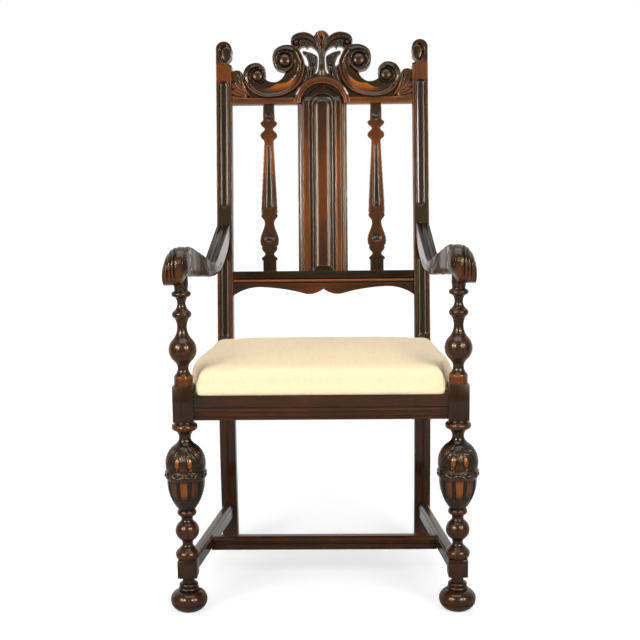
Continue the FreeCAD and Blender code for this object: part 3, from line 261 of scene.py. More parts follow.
def lathe(solid, rows, centre, segments=96, step=2.0, carve=None, tone_gain=0.17, base=0.44):
    """A turning: rows of (radius, height) from the top down, carved by an optional function."""
    line = resample(along(rows, 36), step)
    radius, height = line[:, 0], line[:, 1]
    angle = np.arange(segments) / segments * 2 * math.pi
    # proud rings are painted lighter and hollows darker than the mean: partly rubbed stain,
    # partly painted shade and painted highlight
    spread = max(1, int(5 / step))
    pad = np.pad(radius, spread * 2, mode="edge")
    kernel = np.ones(4 * spread + 1) / (4 * spread + 1)
    proud = radius - np.convolve(pad, kernel, "valid")
    tone = base + proud * tone_gain
    r = np.repeat(radius[:, None], segments, 1)
    shade = np.repeat(tone[:, None], segments, 1)
    if carve:
        r, shade = carve(r, shade, height[:, None], angle[None, :])
    points = np.stack([centre[0] + r * np.sin(angle), centre[1] - r * np.cos(angle),
                       np.repeat(height[:, None], segments, 1)], -1)
    solid.grid(points, np.clip(shade, 0, 1), wrap=True, flip=True)
    for end, flip in ((0, False), (-1, True)):
        if radius[end] > 0.05:
            solid.cap(points[end], 0.3, flip=flip)


def bar(solid, section, start, end, side, planes=None):
    """A straight moulded bar: a closed section of (across, up, tone) between two points."""
    start, end, side = [np.array(v, float) for v in (start, end, side)]
    run = end - start
    axis = run / np.linalg.norm(run)
    ring = start + section[:, :1] * side + section[:, 1:2] * (0, 0, 1)
    ends = []
    for point, plane in zip((start, end), planes or (axis, axis)):
        normal = np.array(plane, float)
        t = ((point - ring) @ normal) / (axis @ normal)
        ends.append(ring + t[:, None] * axis)
    count = max(2, int(np.linalg.norm(run) / 25))
    share = np.linspace(0, 1, count)[:, None, None]
    points = ends[0] * (1 - share) + ends[1] * share
    solid.grid(points, np.tile(section[:, 2], (count, 1)), wrap=True)
    solid.cap(points[0], 0.35)
    solid.cap(points[-1], 0.35, flip=True)


def rounded_square(half, soft, count):
    """The outline of a square round (0, 0), its corners rounded."""
    turns = np.linspace(0, math.pi / 2, count)
    corner = half - soft + soft * np.column_stack([np.cos(turns), np.sin(turns)])
    return np.vstack([corner, corner[:, ::-1] * (-1, 1), -corner, corner[:, ::-1] * (1, -1)])


class Relief:
    """A carved board drawn on a grid: where it is solid, and how proud its face stands."""

    def __init__(self, x0, x1, z0, z1, step, fold=False):
        self.step = step
        xs = np.arange(x0, x1 + step / 2, step)
        zs = np.arange(z0, z1 + step / 2, step)
        self.x, self.z = np.meshgrid(xs, zs)
        self.across = np.abs(self.x) if fold else self.x
        self.solid = np.full(self.x.shape, 1e9)
        self.height = np.full(self.x.shape, -8.0)
        # added to the tone: the board's own colour together with painted highlight and painted
        # shade
        self.colour_and_painted_light = np.zeros(self.x.shape)

    def layer(self, sd, level, edge=1.5, colour_and_painted_light=0.0):
        """Lays a region on the board: its signed distance, its level and its rounded edge."""
        here = sd < 0
        self.height = np.where(here, level - bump_edge(-sd, edge), self.height)
        self.colour_and_painted_light = np.where(here, colour_and_painted_light, self.colour_and_painted_light)
        self.solid = np.minimum(self.solid, sd)

    def area(self, points, smooth=False):
        """The signed distance to a region of the board, negative inside it."""
        line = smooth_loop(points) if smooth else np.array(points, float)
        return distance(self.across, self.z, line, closed=True)

    def groove(self, line, width, depth, smooth=True):
        """Cuts a groove along a line, made smooth unless it is straight or dense."""
        line = smooth_line(line) if smooth else line
        self.height -= depth * bell(distance(self.across, self.z, line), width)

    def build(self, back, place=back_point, sunk=0.0, solid=None, edge=1.2, gain=0.12,
              base=0.42, blur_mm=3.5, taper=0.0, walls=True):
        """Turns the drawing into a mesh: place(points, setback) puts it in the part, its face
        sunk by so much and its walls drawn in towards the back by the taper."""
        solid = solid or Solid()
        sd, shape = self.solid, self.x.shape
        keep = sd < 0.75 * self.step
        near = np.abs(sd) < 0.75 * self.step
        height = self.height - np.where(sd < 0, bump_edge(-sd, edge), edge)
        height = np.where(near, self.height - edge * 0.8, height)
        clean = np.where(keep, height, np.median(height[keep]))
        # proud parts are painted lighter and hollows darker: partly rubbed stain, partly painted
        # shade and painted highlight; the board's painted marks are added on top
        proud = clean - blur(clean, blur_mm / self.step)
        tone = base + gain * proud + self.colour_and_painted_light
        cell = keep[:-1, :-1] & keep[1:, :-1] & keep[:-1, 1:] & keep[1:, 1:]
        index = np.arange(sd.size).reshape(shape)
        quads = np.stack([index[:-1, :-1], index[:-1, 1:], index[1:, 1:], index[1:, :-1]],
                         -1)[cell]
        used = np.unique(quads)
        remap = np.full(sd.size, -1)
        remap[used] = np.arange(len(used))
        quads = remap[quads]
        sides = np.concatenate([quads[:, [k, (k + 1) % 4]] for k in range(4)])
        known = set(map(tuple, sides.tolist()))
        border = np.array(sorted((a, b) for a, b in known if (b, a) not in known))
        ends = np.unique(border)

        # points near the outline and all border points move onto it
        gz, gx = np.gradient(sd, self.step)
        slope = np.stack([gx, gz], -1).reshape(-1, 2)[used]
        norm = np.maximum(np.linalg.norm(slope, axis=1), 0.5)[:, None]
        move = near.ravel()[used]
        move[ends] = True
        depth = sd.ravel()[used]
        flat = np.stack([self.x.ravel()[used], self.z.ravel()[used]], -1)
        flat = flat - np.where(move, depth, 0)[:, None] * slope / norm ** 2
        gz, gx = np.gradient(blur(sd, 1.6 / self.step), self.step)
        out = np.stack([gx, gz], -1).reshape(-1, 2)[used]
        out /= np.maximum(np.linalg.norm(out, axis=1), 0.3)[:, None]
        depth = np.where(move, 0, depth)

        near_set = -clean.ravel()[used]
        behind = flat - out * (taper * np.clip(1 + depth / max(2 * taper, 1), 0, 1))[:, None]
        far_set = back(flat, depth) if callable(back) else np.full(len(used), float(back))
        solid.add(place(flat, near_set + sunk), quads.tolist(),
                  np.clip(tone.ravel()[used], 0, 1))
        solid.add(place(behind, far_set + sunk), quads[:, ::-1].tolist(), 0.4, 1.0)
        if not walls:
            return solid
        place_of = np.full(len(used), -1)
        place_of[ends] = np.arange(len(ends))
        border = place_of[border]
        shares = (0, 0.04, 1)
        rings = [place(flat[ends] - out[ends] * taper * share,
                       near_set[ends] * (1 - share) + far_set[ends] * share + sunk)
                 for share in shares]
        sides = []
        for step in range(len(shares) - 1):
            low, high = border + step * len(ends), border + (step + 1) * len(ends)
            sides += np.stack([low[:, 1], low[:, 0], high[:, 0], high[:, 1]], -1).tolist()
        solid.add(np.vstack(rings), sides, 0.42, 1.0)
        return solid


# ---------------------------------------------------------------- materials

class Nodes:
    """A shader tree written as calls: an input takes a value or another node's output."""

    def __init__(self, owner):
        owner.use_nodes = True
        self.tree = owner.node_tree

    def put(self, node, *inputs, **values):
        """Sets a node's inputs by place or by name, and its own properties."""
        for key, value in [*enumerate(inputs), *values.items()]:
            name = key if isinstance(key, int) else key.replace("_", " ")
            if isinstance(value, bpy.types.NodeSocket):
                self.tree.links.new(value, node.inputs[name])
            elif isinstance(key, int) or name in node.inputs:
                node.inputs[name].default_value = value
            else:
                setattr(node, key, value)

    def __call__(self, kind, output, *inputs, **values):
        """A new node, of which one output is given back."""
        node = self.tree.nodes.new("ShaderNode" + kind)
        self.put(node, *inputs, **values)
        return node.outputs[output]

    def ramp(self, value, *stops):
        colours = self("ValToRGB", "Color", value)
        elements = colours.node.color_ramp.elements
        while len(elements) < len(stops):
            elements.new(0.5)
        for element, (place, colour) in zip(elements, stops):
            element.position = place
            element.color = (*colour, 1)
        return colours

    def bump(self, height, strength, distance=0.0004):
        return self("Bump", "Normal", Height=height, Strength=strength, Distance=distance)


def new_material(name):
    material = bpy.data.materials.new(name)
    nodes = Nodes(material)
    return material, nodes, nodes.tree.nodes["Principled BSDF"]


# colours of the stain along the tone: its dark end is painted shade in the hollows, its light end
# partly rubbed stain on worn edges and partly painted highlight
DARK = ((0.0, (0.004, 0.002, 0.001)), (0.3, (0.012, 0.006, 0.002)), (0.5,
    (0.045, 0.0132, 0.0036)), (0.7, (0.142, 0.034, 0.004)), (1.0, (0.320, 0.086, 0.010)))
NOISE_SHARES = (0.34, 0.34, 0.14)  # of the grain, the patches and the pores in the tone
ROUGHEST, SMOOTHEST, UNPOLISHED = 0.4, 0.24, 0.6
COAT, COAT_ROUGHNESS = 0.6, 0.11


def polished_wood(name, grain):
    """Stained, polished wood: long grain, pores, darker in the hollows by painted shade, lighter
    on proud parts by rubbed stain and painted highlight.
    """
    material, nodes, shader = new_material(name)
    place = nodes("TexCoord", "Object")
    stretch = nodes("Mapping", "Vector", place, Scale=grain)
    figure = nodes("TexNoise", "Fac", stretch, Scale=22.0, Detail=6.0, Roughness=0.62,
                   Distortion=0.6)
    pores = nodes("TexNoise", "Fac", stretch, Scale=210.0, Detail=3.0, Roughness=0.7)
    patches = nodes("TexNoise", "Fac", place, Scale=9.0, Detail=2.0, Roughness=0.5)
    value = nodes("Attribute", "Fac", attribute_name="tone")
    for noise, share in zip((figure, patches, pores), NOISE_SHARES):
        noise = nodes("Math", 0, noise, share, -share / 2, operation="MULTIPLY_ADD")
        value = nodes("Math", 0, value, noise, operation="ADD")
    dull = nodes("Attribute", "Fac", attribute_name="dull")
    rough = nodes("MapRange", "Result", patches, To_Min=ROUGHEST, To_Max=SMOOTHEST)
    nodes.put(shader, Base_Color=nodes.ramp(value, *DARK),
              Roughness=nodes("Math", 0, dull, UNPOLISHED, rough, operation="MULTIPLY_ADD"),
              Normal=nodes.bump(pores, 0.05), Specular_IOR_Level=0.05,
              Specular_Tint=(1, 0.72, 0.42, 1), Coat_Weight=COAT, Coat_Roughness=COAT_ROUGHNESS)
    return material


LONG, SHORT = 1.0, 9.0
wood_z = polished_wood("polished_wood_upright", (SHORT, SHORT, LONG))
wood_x = polished_wood("polished_wood_across", (LONG, SHORT, SHORT))
wood_y = polished_wood("polished_wood_along", (SHORT, LONG, SHORT))


def cloth_material(name, colour, other, scale, roughness, sheen, rise, slub=(1, 1, 1)):
    """A woven cloth: threads both ways, slubs, soft variation of colour."""
    material, nodes, shader = new_material(name)
    place = nodes("TexCoord", "Object")
    stretch = nodes("Mapping", "Vector", place, Scale=slub)
    streaks = nodes("TexNoise", "Fac", stretch, Scale=60.0, Detail=4.0, Roughness=0.6)
    threads = [nodes("TexWave", "Fac", place, Scale=scale, Distortion=0.6, Detail=1.0,
                     bands_direction=way) for way in "XY"]
    weave = nodes("Math", 0, *threads, operation="MULTIPLY")
    height = nodes("Math", 0, streaks, 1.6, weave, operation="MULTIPLY_ADD")
    nodes.put(shader, Base_Color=nodes.ramp(streaks, (0.3, other), (0.7, colour)),
              Normal=nodes.bump(height, rise), Roughness=roughness, Specular_IOR_Level=0.1,
              Sheen_Weight=sheen)
    return material


def plain_board(name, dark, pale):
    material, nodes, shader = new_material(name)
    stretch = nodes("Mapping", "Vector", nodes("TexCoord", "Object"), Scale=(1.5, 12, 12))
    grain = nodes("TexNoise", "Fac", stretch, Scale=14.0, Detail=6.0, Roughness=0.6,
                  Distortion=1.2)
    nodes.put(shader, Base_Color=nodes.ramp(grain, (0.3, dark), (0.7, pale)),
              Normal=nodes.bump(grain, 0.25, 0.0005), Roughness=0.6)
    return material


def dull_steel():
    material, nodes, shader = new_material("dull_steel")
    marks = nodes("TexNoise", "Fac", nodes("TexCoord", "Object"), Scale=300.0, Detail=3.0)
    colours = nodes.ramp(marks, (0.35, (0.10, 0.095, 0.09)), (0.65, (0.2, 0.19, 0.18)))
    nodes.put(shader, Base_Color=colours, Metallic=1.0, Roughness=0.42)
    return material


silk = cloth_material("cream_silk", (0.93, 0.75, 0.49), (0.86, 0.67, 0.40), 900, 0.55, 0.15,
                      0.35, (6, 0.35, 6))
black_cloth = cloth_material("black_cloth", (0.012, 0.012, 0.013), (0.02, 0.02, 0.021), 700,
                             0.9, 0.05, 0.4)
finishes = { "webbing": cloth_material("jute_webbing", (0.40, 0.29, 0.16), (0.26, 0.18, 0.09),
    500, 0.9, 0.1, 0.8), "hessian": cloth_material("hessian", (0.45, 0.34, 0.20),
    (0.34, 0.25, 0.14), 420, 0.95, 0.1, 0.8), "plain_wood": plain_board("unfinished_board",
    (0.36, 0.22, 0.11), (0.55, 0.37, 0.2)), "dark_wood": plain_board("stained_board",
    (0.02, 0.009, 0.005), (0.06, 0.024, 0.012)), "steel": dull_steel(), }


def dress_nodes():
    """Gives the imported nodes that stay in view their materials."""
    slots = {row["node"]: row["material_slot"] for row in frame["record"]["subparts"]}
    for name, piece in frame["nodes"].items():
        if slots[name] in finishes:
            for slot in piece.material_slots:
                slot.material = finishes[slots[name]]


# ---------------------------------------------------------------- turned front posts and feet

# rows of (height share, radius share), from the top down; a row of four is an arc
LEG_ROWS = ((1, 0.465), (0.983, 0.488), (0.957, 0.616, 0.933, 0.453), (0.926, 0.407),
    (0.885, 0.281, 0.851, 0.349), (0.836, 0.442), (0.777, 0.805, 0.668, 0.923), (0.654, 0.93),
    (0.623, 1, 0.592, 0.93), (0.582, 0.891), (0.483, 0.805, 0.368, 0.402), (0.361, 0.384),
    (0.342, 0.458, 0.322, 0.386), (0.297, 0.272, 0.272, 0.349), (0.202, 0.563, 0.144, 0.337),
    (0.11, 0.249, 0.086, 0.36), (0.072, 0.442), (0.041, 0.581, 0.009, 0.512), (0, 0.488))
SUPPORT_ROWS = ((1, 0.518), (0.945, 0.472), (0.938, 0.507), (0.91, 0.699, 0.882, 0.504),
    (0.877, 0.447), (0.833, 0.312, 0.748, 0.504), (0.743, 0.539), (0.708, 0.699, 0.672, 0.539),
    (0.667, 0.504), (0.58, 0.351, 0.465, 0.645), (0.45, 0.745), (0.35, 1, 0.24, 0.617),
    (0.21, 0.454), (0.172, 0.387, 0.115, 0.514), (0.095, 0.624), (0.085, 0.667), (0, 0.667))
# (radius, height) of the bun foot and the neck and rings above it
FOOT_ROWS = ((12.4, 77), (12.4, 66), (13.4, 61.4), (16.2, 60.4), (19.5, 57.4, 18.5, 53.6),
    (17.1, 52.9), (17.1, 52.1), (21.2, 48.8, 20.2, 45.6), (19.4, 45), (22.6, 44.2),
    (33.6, 37.5, 37.6, 24), (37.2, 20.4), (35.9, 19.6), (36.8, 18.8), (36.7, 17.8), (35.4, 17),
    (36.1, 16.2), (30.8, 8.5, 22, 2.5))
SEAT_BLOCK, SEAT_LOW, SEAT_HIGH = 21.0, 401.0, 475.0
LOW_BLOCK, LOW_LOW, LOW_HIGH = 20.0, 74.0, 111.0
ARM_SEAT = 678.0
BULB, BALL = 43.0, 28.2


def turned(rows, bottom, top, radius):
    """Rows of (height share, radius share) as rows of (radius, height)."""
    return mapped(rows, lambda high, wide: (wide * radius, bottom + high * (top - bottom)))


def block(solid, centre, half, low, high, bevel=1.5):
    """A square block with softened edges."""
    ring = rounded_square(half, bevel, 4)
    levels, tones = [], []
    # the rounded edges are painted darker than the faces, the bottom edge most: painted shade
    for z, inset, shade in ((low, bevel, 0.25), (low + bevel * 0.3, bevel * 0.3, 0.32),
                            (low + bevel, 0, 0.4), (high - bevel, 0, 0.4),
                            (high - bevel * 0.3, bevel * 0.3, 0.44), (high, bevel, 0.3)):
        levels.append(np.column_stack([ring * (half - inset) / half + centre,
                                       np.full(len(ring), z)]))
        tones.append(np.full(len(ring), shade))
    solid.grid(np.array(levels), np.array(tones), wrap=True)
    solid.cap(levels[0], 0.3, flip=True)
    solid.cap(levels[-1], 0.35)


PANELS = 10


def carve_bulb(r, shade, z, angle):
    """The cup-and-cover bulb: fluted cup, ribbon, and a cover of broad leaves."""
    # lower cup: proud panels between round-ended flutes; the panels are painted lighter where
    # they face front and back, a painted highlight, and the flutes darker, painted shade
    turn = (angle * PANELS / (2 * math.pi) + 0.5) % 1 - 0.5
    gap = (0.5 - np.abs(turn)) * 2 * math.pi * r / PANELS
    ends = np.maximum(np.abs(z - 259) - 18, 0)
    dug = smooth_step(4.3 - np.hypot(gap, ends), -0.4, 1.6)
    in_cup = smooth_step(z, 222, 228) * (1 - smooth_step(z, 280.5, 282))
    front = np.abs((angle + math.pi / 2) % math.pi - math.pi / 2)
    panel = (1 - dug) * smooth_step(z, 236, 256) * smooth_step(gap, 2.5, 5) * bell(front, 0.8)
    r = r - 2.6 * dug * in_cup
    shade = shade + in_cup * (0.5 * panel - 0.16 * dug - 0.14)

    # a ribbon wound round the widest part
    on = smooth_step(z, 286.5, 288) * (1 - smooth_step(z, 297, 298.5))
    wave = np.sin(angle * 9 + 1.1) * 2.1
    fold = bell(z - 292.5 - wave, 1.3)
    r = r + (0.7 * np.sin(angle * 18 + 0.4) - 1.3 * fold) * on
    shade = shade - (0.16 + 0.14 * fold) * on

    # cover: a narrow leaf between two eyes at the front, broad leaves round the sides
    fade = smooth_step(z, 302.5, 304.5) * (1 - smooth_step(z, 347, 352))
    run = front * r
    eye = np.hypot((run - math.radians(19.5) * r) / 5.6, (z - 320) / 12)
    form = np.where(eye < 1, -0.7 + 1.5 * np.sqrt(np.maximum(1 - eye ** 2, 0)), 0.0)
    form = form - 1.3 * bell(eye - 1.05, 0.13) + 0.9 * bell(eye - 1.42, 0.22)
    colour_and_painted_light = 0.46 * (eye < 0.95) - 0.22 * bell(eye - 1.08, 0.15)
    middle = np.clip((352 - z) / 48, 0, 1) * 10.5
    leaf = (run < middle) & (eye > 1.2)
    form = form + 0.7 * leaf - 1.0 * bell(run - middle * 0.45, 0.8) * leaf
    form = form - 0.8 * bell(run, 0.8) * smooth_step(z, 316, 330)
    colour_and_painted_light = colour_and_painted_light + 0.2 * leaf * (1 - smooth_step(z, 306, 318))
    seam_at = np.radians(np.interp(z, (303, 310, 335, 350), (69, 60, 39, 21)))
    away = (front - seam_at) * r
    form = form - 1.9 * bell(away, 1.2) + 0.8 * bell(away + 3, 1.8)
    outer = smooth_step(away, 1.5, 4)
    rib = np.abs((away / 6.5) % 1 - 0.5) * 6.5
    form = form + outer * (0.5 - 1.1 * bell(3.25 - rib, 0.9))
    colour_and_painted_light = colour_and_painted_light - 0.22 * bell(away, 1.7) + 0.1 * outer
    r = r + fade * form
    shade = shade + fade * (colour_and_painted_light - 0.14)
    shade = shade - 0.14 * smooth_step(z, 340, 352) * (1 - smooth_step(z, 360, 374))
    return r, shade


def warm_collar(r, shade, z, angle):
    """The collar on the seat block is a little warmer than the turning above it."""
    return r, shade + 0.2 * (1 - smooth_step(z, 492, 497))


def front_post():
    centre = (-LEG_X, FRONT_Y)
    solid = Solid()
    lathe(solid, turned(SUPPORT_ROWS, SEAT_HIGH, ARM_SEAT, BALL), centre, step=1.3,
          carve=warm_collar)
    leg = turned(LEG_ROWS, LOW_HIGH, SEAT_LOW, BULB)
    lathe(solid, leg, centre, segments=220, step=0.9, carve=carve_bulb)
    block(solid, centre, SEAT_BLOCK, SEAT_LOW, SEAT_HIGH)
    block(solid, centre, LOW_BLOCK, LOW_LOW, LOW_HIGH)
    lathe(solid, ((12.5, 706), (14.2, 690), (14.6, 677.5)), centre, base=0.36)
    solid.finish("turned_front_post", wood_z, "front_post", LEFT_FIRST)


def bun_foot():
    solid = Solid()
    lathe(solid, FOOT_ROWS, (-LEG_X, FRONT_Y), step=0.9, base=0.4, tone_gain=0.07)
    solid.finish("turned_bun_foot", wood_z, "bun_foot", LEFT_FIRST)


# ---------------------------------------------------------------- straight members

def section(rows, step=1.2, cells=3):
    """A closed section of (across, up, tone) from rows of corners and arcs."""
    line = resample(along(list(rows) + [rows[0][-2:]], 5), step)[:-1]
    kernel = np.ones(2 * cells + 1) / (2 * cells + 1)
    padded = np.vstack([line[-cells:], line, line[:cells]])
    mean = np.column_stack([np.convolve(padded[:, k], kernel, "valid") for k in (0, 1)])
    # proud parts of the section are painted lighter and hollows darker: partly rubbed stain,
    # partly painted shade and painted highlight
    away = line - line.mean(0)
    toward = away / np.maximum(np.linalg.norm(away, axis=1), 1)[:, None]
    proud = ((line - mean) * toward).sum(1)
    return np.column_stack([line, np.clip(0.45 + 0.16 * proud, 0, 1)])


SIDE_ANGLE = math.atan2(LEG_X - POST_X, SEAT_RUN + POST / 2)
SIDE_ALONG = np.array([math.sin(SIDE_ANGLE), math.cos(SIDE_ANGLE), 0])
SIDE_OUT = np.array([-math.cos(SIDE_ANGLE), math.sin(SIDE_ANGLE), 0])
RAIL_FACE, RAIL_TOP = 16.0, 459.5
# rows of (out from the face, up from the top)
RAIL_SECTION = ((-2, 0), (-0.6, -0.6, 0, -2), (0, -27), (-0.7, -28), (-3.6, -28.6), (-3.6, -31.6),
    (-0.6, -32.2), (0.4, -34.4, -0.5, -36.6), (-2, -37.4), (-2.2, -38.4), (-0.8, -42, -2, -46.6),
    (-4.2, -47.2), (-4.2, -48.8), (-2.6, -49.2), (-2.2, -52.2, -3.4, -55.4), (-5, -56),
    (-22, -56), (-22, 0))
STRETCHER_SECTION = ((11, 75.5), (11.7, 75.8, 12, 76.5), (12, 98.5), (11.4, 99.6), (10.3, 99.9),
    (8.6, 105, 6, 107.5), (-6, 107.5), (-8.6, 105, -10.3, 99.9), (-11.4, 99.6), (-12, 98.5),
    (-12, 76.5), (-11.7, 75.8, -11, 75.5))
CROSS_SECTION = ((0, 73.3), (0, 76), (-1.4, 77), (-1.6, 82.4), (0, 83.4), (0.4, 84.2, 0, 85),
    (-3, 85.8), (-4.6, 89, -2.2, 92.6), (0, 93.2), (-1.2, 98.4, -5.7, 102), (-21, 102),
    (-22, 101), (-22, 73), (-21, 72.5), (-0.8, 72.5))


def at_depth(y, out, z=0):
    """The point at a given Y of a line along the left side, so far out from the line between
    the leg and post axes."""
    start = np.array([-LEG_X, FRONT_Y, z]) + out * SIDE_OUT
    return start + SIDE_ALONG * (y - start[1]) / SIDE_ALONG[1]


def kick(z):
    """How far a rear post stands back at a height under the bend."""
    return KICK * max(0, 1 - z / KICK_TOP)


def rails():
    """The seat rails and the stretchers, each one moulded bar."""
    half, face, cross_y = LEG_X - SEAT_BLOCK, FRONT_Y - RAIL_FACE, FRONT_Y + 165
    reach = abs(at_depth(cross_y, -12)[0])
    front, square = (0, -1, 0), ((0, 1, 0), (0, 1, 0))
    side_rail = [at_depth(y, RAIL_FACE, RAIL_TOP) for y in (FRONT_Y + SEAT_BLOCK, POST_Y)]
    stretcher = [at_depth(y, 0) for y in (FRONT_Y + LOW_BLOCK, POST_Y + kick(91))]
    for name, node, rows, ends, side, planes, wood, sides in (
            ("moulded_front_rail", "front_seat_rail", RAIL_SECTION,
             ((-half, face, RAIL_TOP), (half, face, RAIL_TOP)), front, None, wood_x, ("",)),
            ("moulded_side_rail", "side_seat_rail", RAIL_SECTION, side_rail, SIDE_OUT,
             square, wood_y, LEFT_FIRST),
            ("moulded_side_stretcher", "side_stretcher", STRETCHER_SECTION, stretcher,
             SIDE_OUT, square, wood_y, LEFT_FIRST),
            ("moulded_cross_stretcher", "cross_stretcher", CROSS_SECTION,
             ((-reach, cross_y, 0), (reach, cross_y, 0)), front,
             (SIDE_OUT, SIDE_OUT * (-1, 1, 1)), wood_x, ("",))):
        solid = Solid()
        bar(solid, section(rows), *ends, side, planes)
        solid.finish(name, wood, node, sides)


# ---------------------------------------------------------------- rear posts

def rear_post():
    """Square and kicked below the bend, raked, fluted and scrolled above it."""
    solid = Solid()
    half = POST / 2
    ring = rounded_square(half, 1.4, 3)
    levels = []
    for z in (0, 1, 60, 140, 210, 220, 230, 300, 400, BEND):
        flat = ring * (0.97 if z == 0 else 1)
        levels.append(np.column_stack([-POST_X + flat[:, 0], POST_Y + half + kick(z) + flat[:, 1],
                                       np.full(len(ring), z)]))
    solid.grid(np.array(levels), 0.46, wrap=True,
               dull=np.tile(np.abs(ring[:, 0]) > half - 0.1, len(levels)))
    solid.cap(levels[0], 0.3, flip=True)
    solid.cap(levels[-1], 0.3)
    outer, inner = -POST_X - half, -POST_X + half
    relief = Relief(outer - 1, inner + 1, BEND - 0.5, POST_TOP + 2, 0.8)
    outline = along(((outer, BEND - 0.4), (outer, 1181.5), (-231.5, 1200, -214.1, 1173),
                     (-216, 1160, -222.6, 1154.3), (-231.5, 1152), (inner, 1143.9),
                     (inner, BEND - 0.4)), 14)
    x, z = relief.x, relief.z
    relief.layer(relief.area(outline), 0, edge=1.2)
    for low, high in ((811, 1107.5), (508, 696.5)):
        off = np.hypot(x + POST_X, z - np.clip(z, low + 10.6, high - 10.6))
        relief.height -= np.interp(off, (0, 5.2, 8.9, 10.6), (4.4, 4.4, 3.2, 0))
        # each flute is painted darker along its bottom: painted shade
        relief.colour_and_painted_light -= 0.3 * (1 - smooth_step(off, 7.5, 10.4))
    relief.groove(((-227.5, 1188), (-233, 1186.5), (-237.6, 1180), (-238.8, 1170), (-236.8, 1159),
        (-231, 1151)), 2.2, 3.8)
    boss = np.hypot((x + 225.5) / 13, (z - 1170) / 17)
    relief.height += 2.2 * np.sqrt(np.maximum(1 - boss ** 2, 0))
    # the facet under the notch, painted darker: painted shade
    facet = relief.area(((-233, 1151.5), (-211, 1144), (-211, 1132)))
    relief.height -= 3.2 * smooth_step(-facet, 0, 4)
    relief.colour_and_painted_light -= 0.3 * smooth_step(-facet, -1, 2)
    flat = smooth_step(z, 1100, 1112) * (1 - smooth_step(z, 1140, 1154))
    relief.colour_and_painted_light += 0.2 * flat - 0.1 * (z < 1098) - 0.14 * (z > 1154)
    relief.colour_and_painted_light += 0.12 * smooth_step(np.abs(x + POST_X), 11.5, 14) * (z < 1100)
    relief.build(POST * math.cos(RAKE), solid=solid, gain=0.11)
    solid.finish("carved_rear_post", wood_z, "rear_post", LEFT_FIRST)


# ---------------------------------------------------------------- back

RAIL_HALF = POST_X - POST / 2


def lower_rail():
    """A dark flat band, a bead between two quirks and a scalloped fascia."""
    relief = Relief(-RAIL_HALF - 0.4, RAIL_HALF + 0.4, 604, 664.5, 0.7)
    half = along(((213, 663.5), (213, 606), (186, 620, 152, 626), (92, 620.5, 40, 609),
        (16, 612, 0, 621)), 12)
    outline = np.vstack([half, (half * (-1, 1))[::-1][1:]])
    x, z = relief.x, relief.z
    relief.layer(relief.area(outline), 0, edge=0.8)
    relief.height += np.interp(z, (604, 634, 635.2, 637, 640, 641.6, 643.6, 644.8, 646, 663),
                               (-1.4, -1.0, -3.4, -1.8, 0.4, 0.6, -1, -3.4, 0, 0.4))
    # the bead is painted lighter, a painted highlight, and the flat band above it darker
    relief.colour_and_painted_light += 0.36 * bell(z - 640.6, 3.4) - 0.12 * (z > 645)
    # the fascia is painted lighter towards the middle, a painted pool of light, and the whole
    # rail darker at its ends by the posts, painted shade
    relief.colour_and_painted_light += (0.16 * bell(x, 110)) * (z < 634) - 0.16 * bell(np.abs(x) - 213, 40)
    solid = relief.build(22, sunk=6, gain=0.14, edge=0.8, taper=2.0)
    solid.finish("moulded_lower_rail", wood_x, "lower_back_rail")


ARCH = (0, 1049)


def splat():
    """A moulded board: a proud panel between hollows, strips and beads, arched at the top."""
    relief = Relief(-59, 59, 660.5, 1105, 0.8)
    x, z = np.abs(relief.x), relief.z
    radial = np.where(z > ARCH[1], np.hypot(x, z - ARCH[1]), x)
    rows = np.array(((0, -0.6), (10.6, -0.6), (16.4, -2.5), (17.4, -6.6), (18, -7.2), (23, -7.2),
        (26.5, -5.4), (29.4, -2.6), (30.2, -1.8), (31, -2.8), (31.8, -3), (32.4, -2), (43.6, -2),
        (44.2, -2.6), (44.8, -1.4), (45.8, -0.5), (46.8, -1.4), (47.4, -4), (50, -4.9),
        (53.5, -4.2), (56, -2.4), (58, -2)))
    form = np.interp(radial, rows[:, 0], rows[:, 1])
    outside = np.where(z > 1053.5, np.hypot(x, z - ARCH[1]) - 52, x - 58)
    relief.layer(outside, 0, edge=0.5)
    relief.height = form
    strip = smooth_step(radial, 32, 33) * (1 - smooth_step(radial, 43, 44))
    panel = 1 - smooth_step(radial, 10.4, 11)
    bead = bell(radial - 45.8, 1.2) + bell(radial - 30.2, 1)
    dark = smooth_step(radial, 17, 18) * (1 - smooth_step(radial, 27, 29))
    # the beads are painted lighter, a painted highlight, and the coves darker, painted shade
    relief.colour_and_painted_light = 0.26 * strip * (1 - smooth_step(z, 940, 1030)) + 0.18 * bead - 0.14 * dark
    relief.colour_and_painted_light += panel * (0.26 * bell(z - 850, 130) - 0.04)
    # the arched head is painted darker: painted shade
    relief.colour_and_painted_light -= 0.16 * smooth_step(z, 1040, 1062)
    relief.height -= 3.5 * smooth_step(z, 1058, 1072) * (radial < 46)
    # the sunk foot is painted dark: painted shade
    foot = x - 17 - 0.75 * (674 - z)
    relief.height = np.where((z < 674) & (foot < 0), -6.4, relief.height)
    relief.colour_and_painted_light = np.where((z < 674) & (foot < 0), -0.2, relief.colour_and_painted_light)
    relief.build(16, sunk=9).finish("moulded_splat", wood_z, "centre_splat")


# (half width, height) of a baluster from the top down
BALUSTER_ROWS = ((13.1, 1055), (13.9, 1018), (14.8, 1014.4), (18, 1012.6), (19.9, 1009.4),
    (17.4, 1004), (12.4, 999.4), (9.8, 995.4), (12.8, 990.6), (17.8, 986), (19.9, 980.6),
    (18, 975), (13.2, 971), (11, 966), (11.1, 961), (19, 810.5), (19.2, 808), (17.4, 805.4),
    (18.8, 803), (18.7, 800.6), (17.2, 798.4), (19.2, 796), (19.2, 790.6), (16.4, 787),
    (12.6, 782), (11.3, 775), (13.2, 765), (18, 752), (21.2, 743), (22, 734), (20.6, 724.6),
    (17.6, 721.6), (18.8, 718), (17.2, 712.6), (12.4, 707), (10.8, 702.8), (13.2, 698.6),
    (17.6, 695.4), (18.9, 692.6), (18.2, 689.4), (16, 687.4), (16, 660.5))


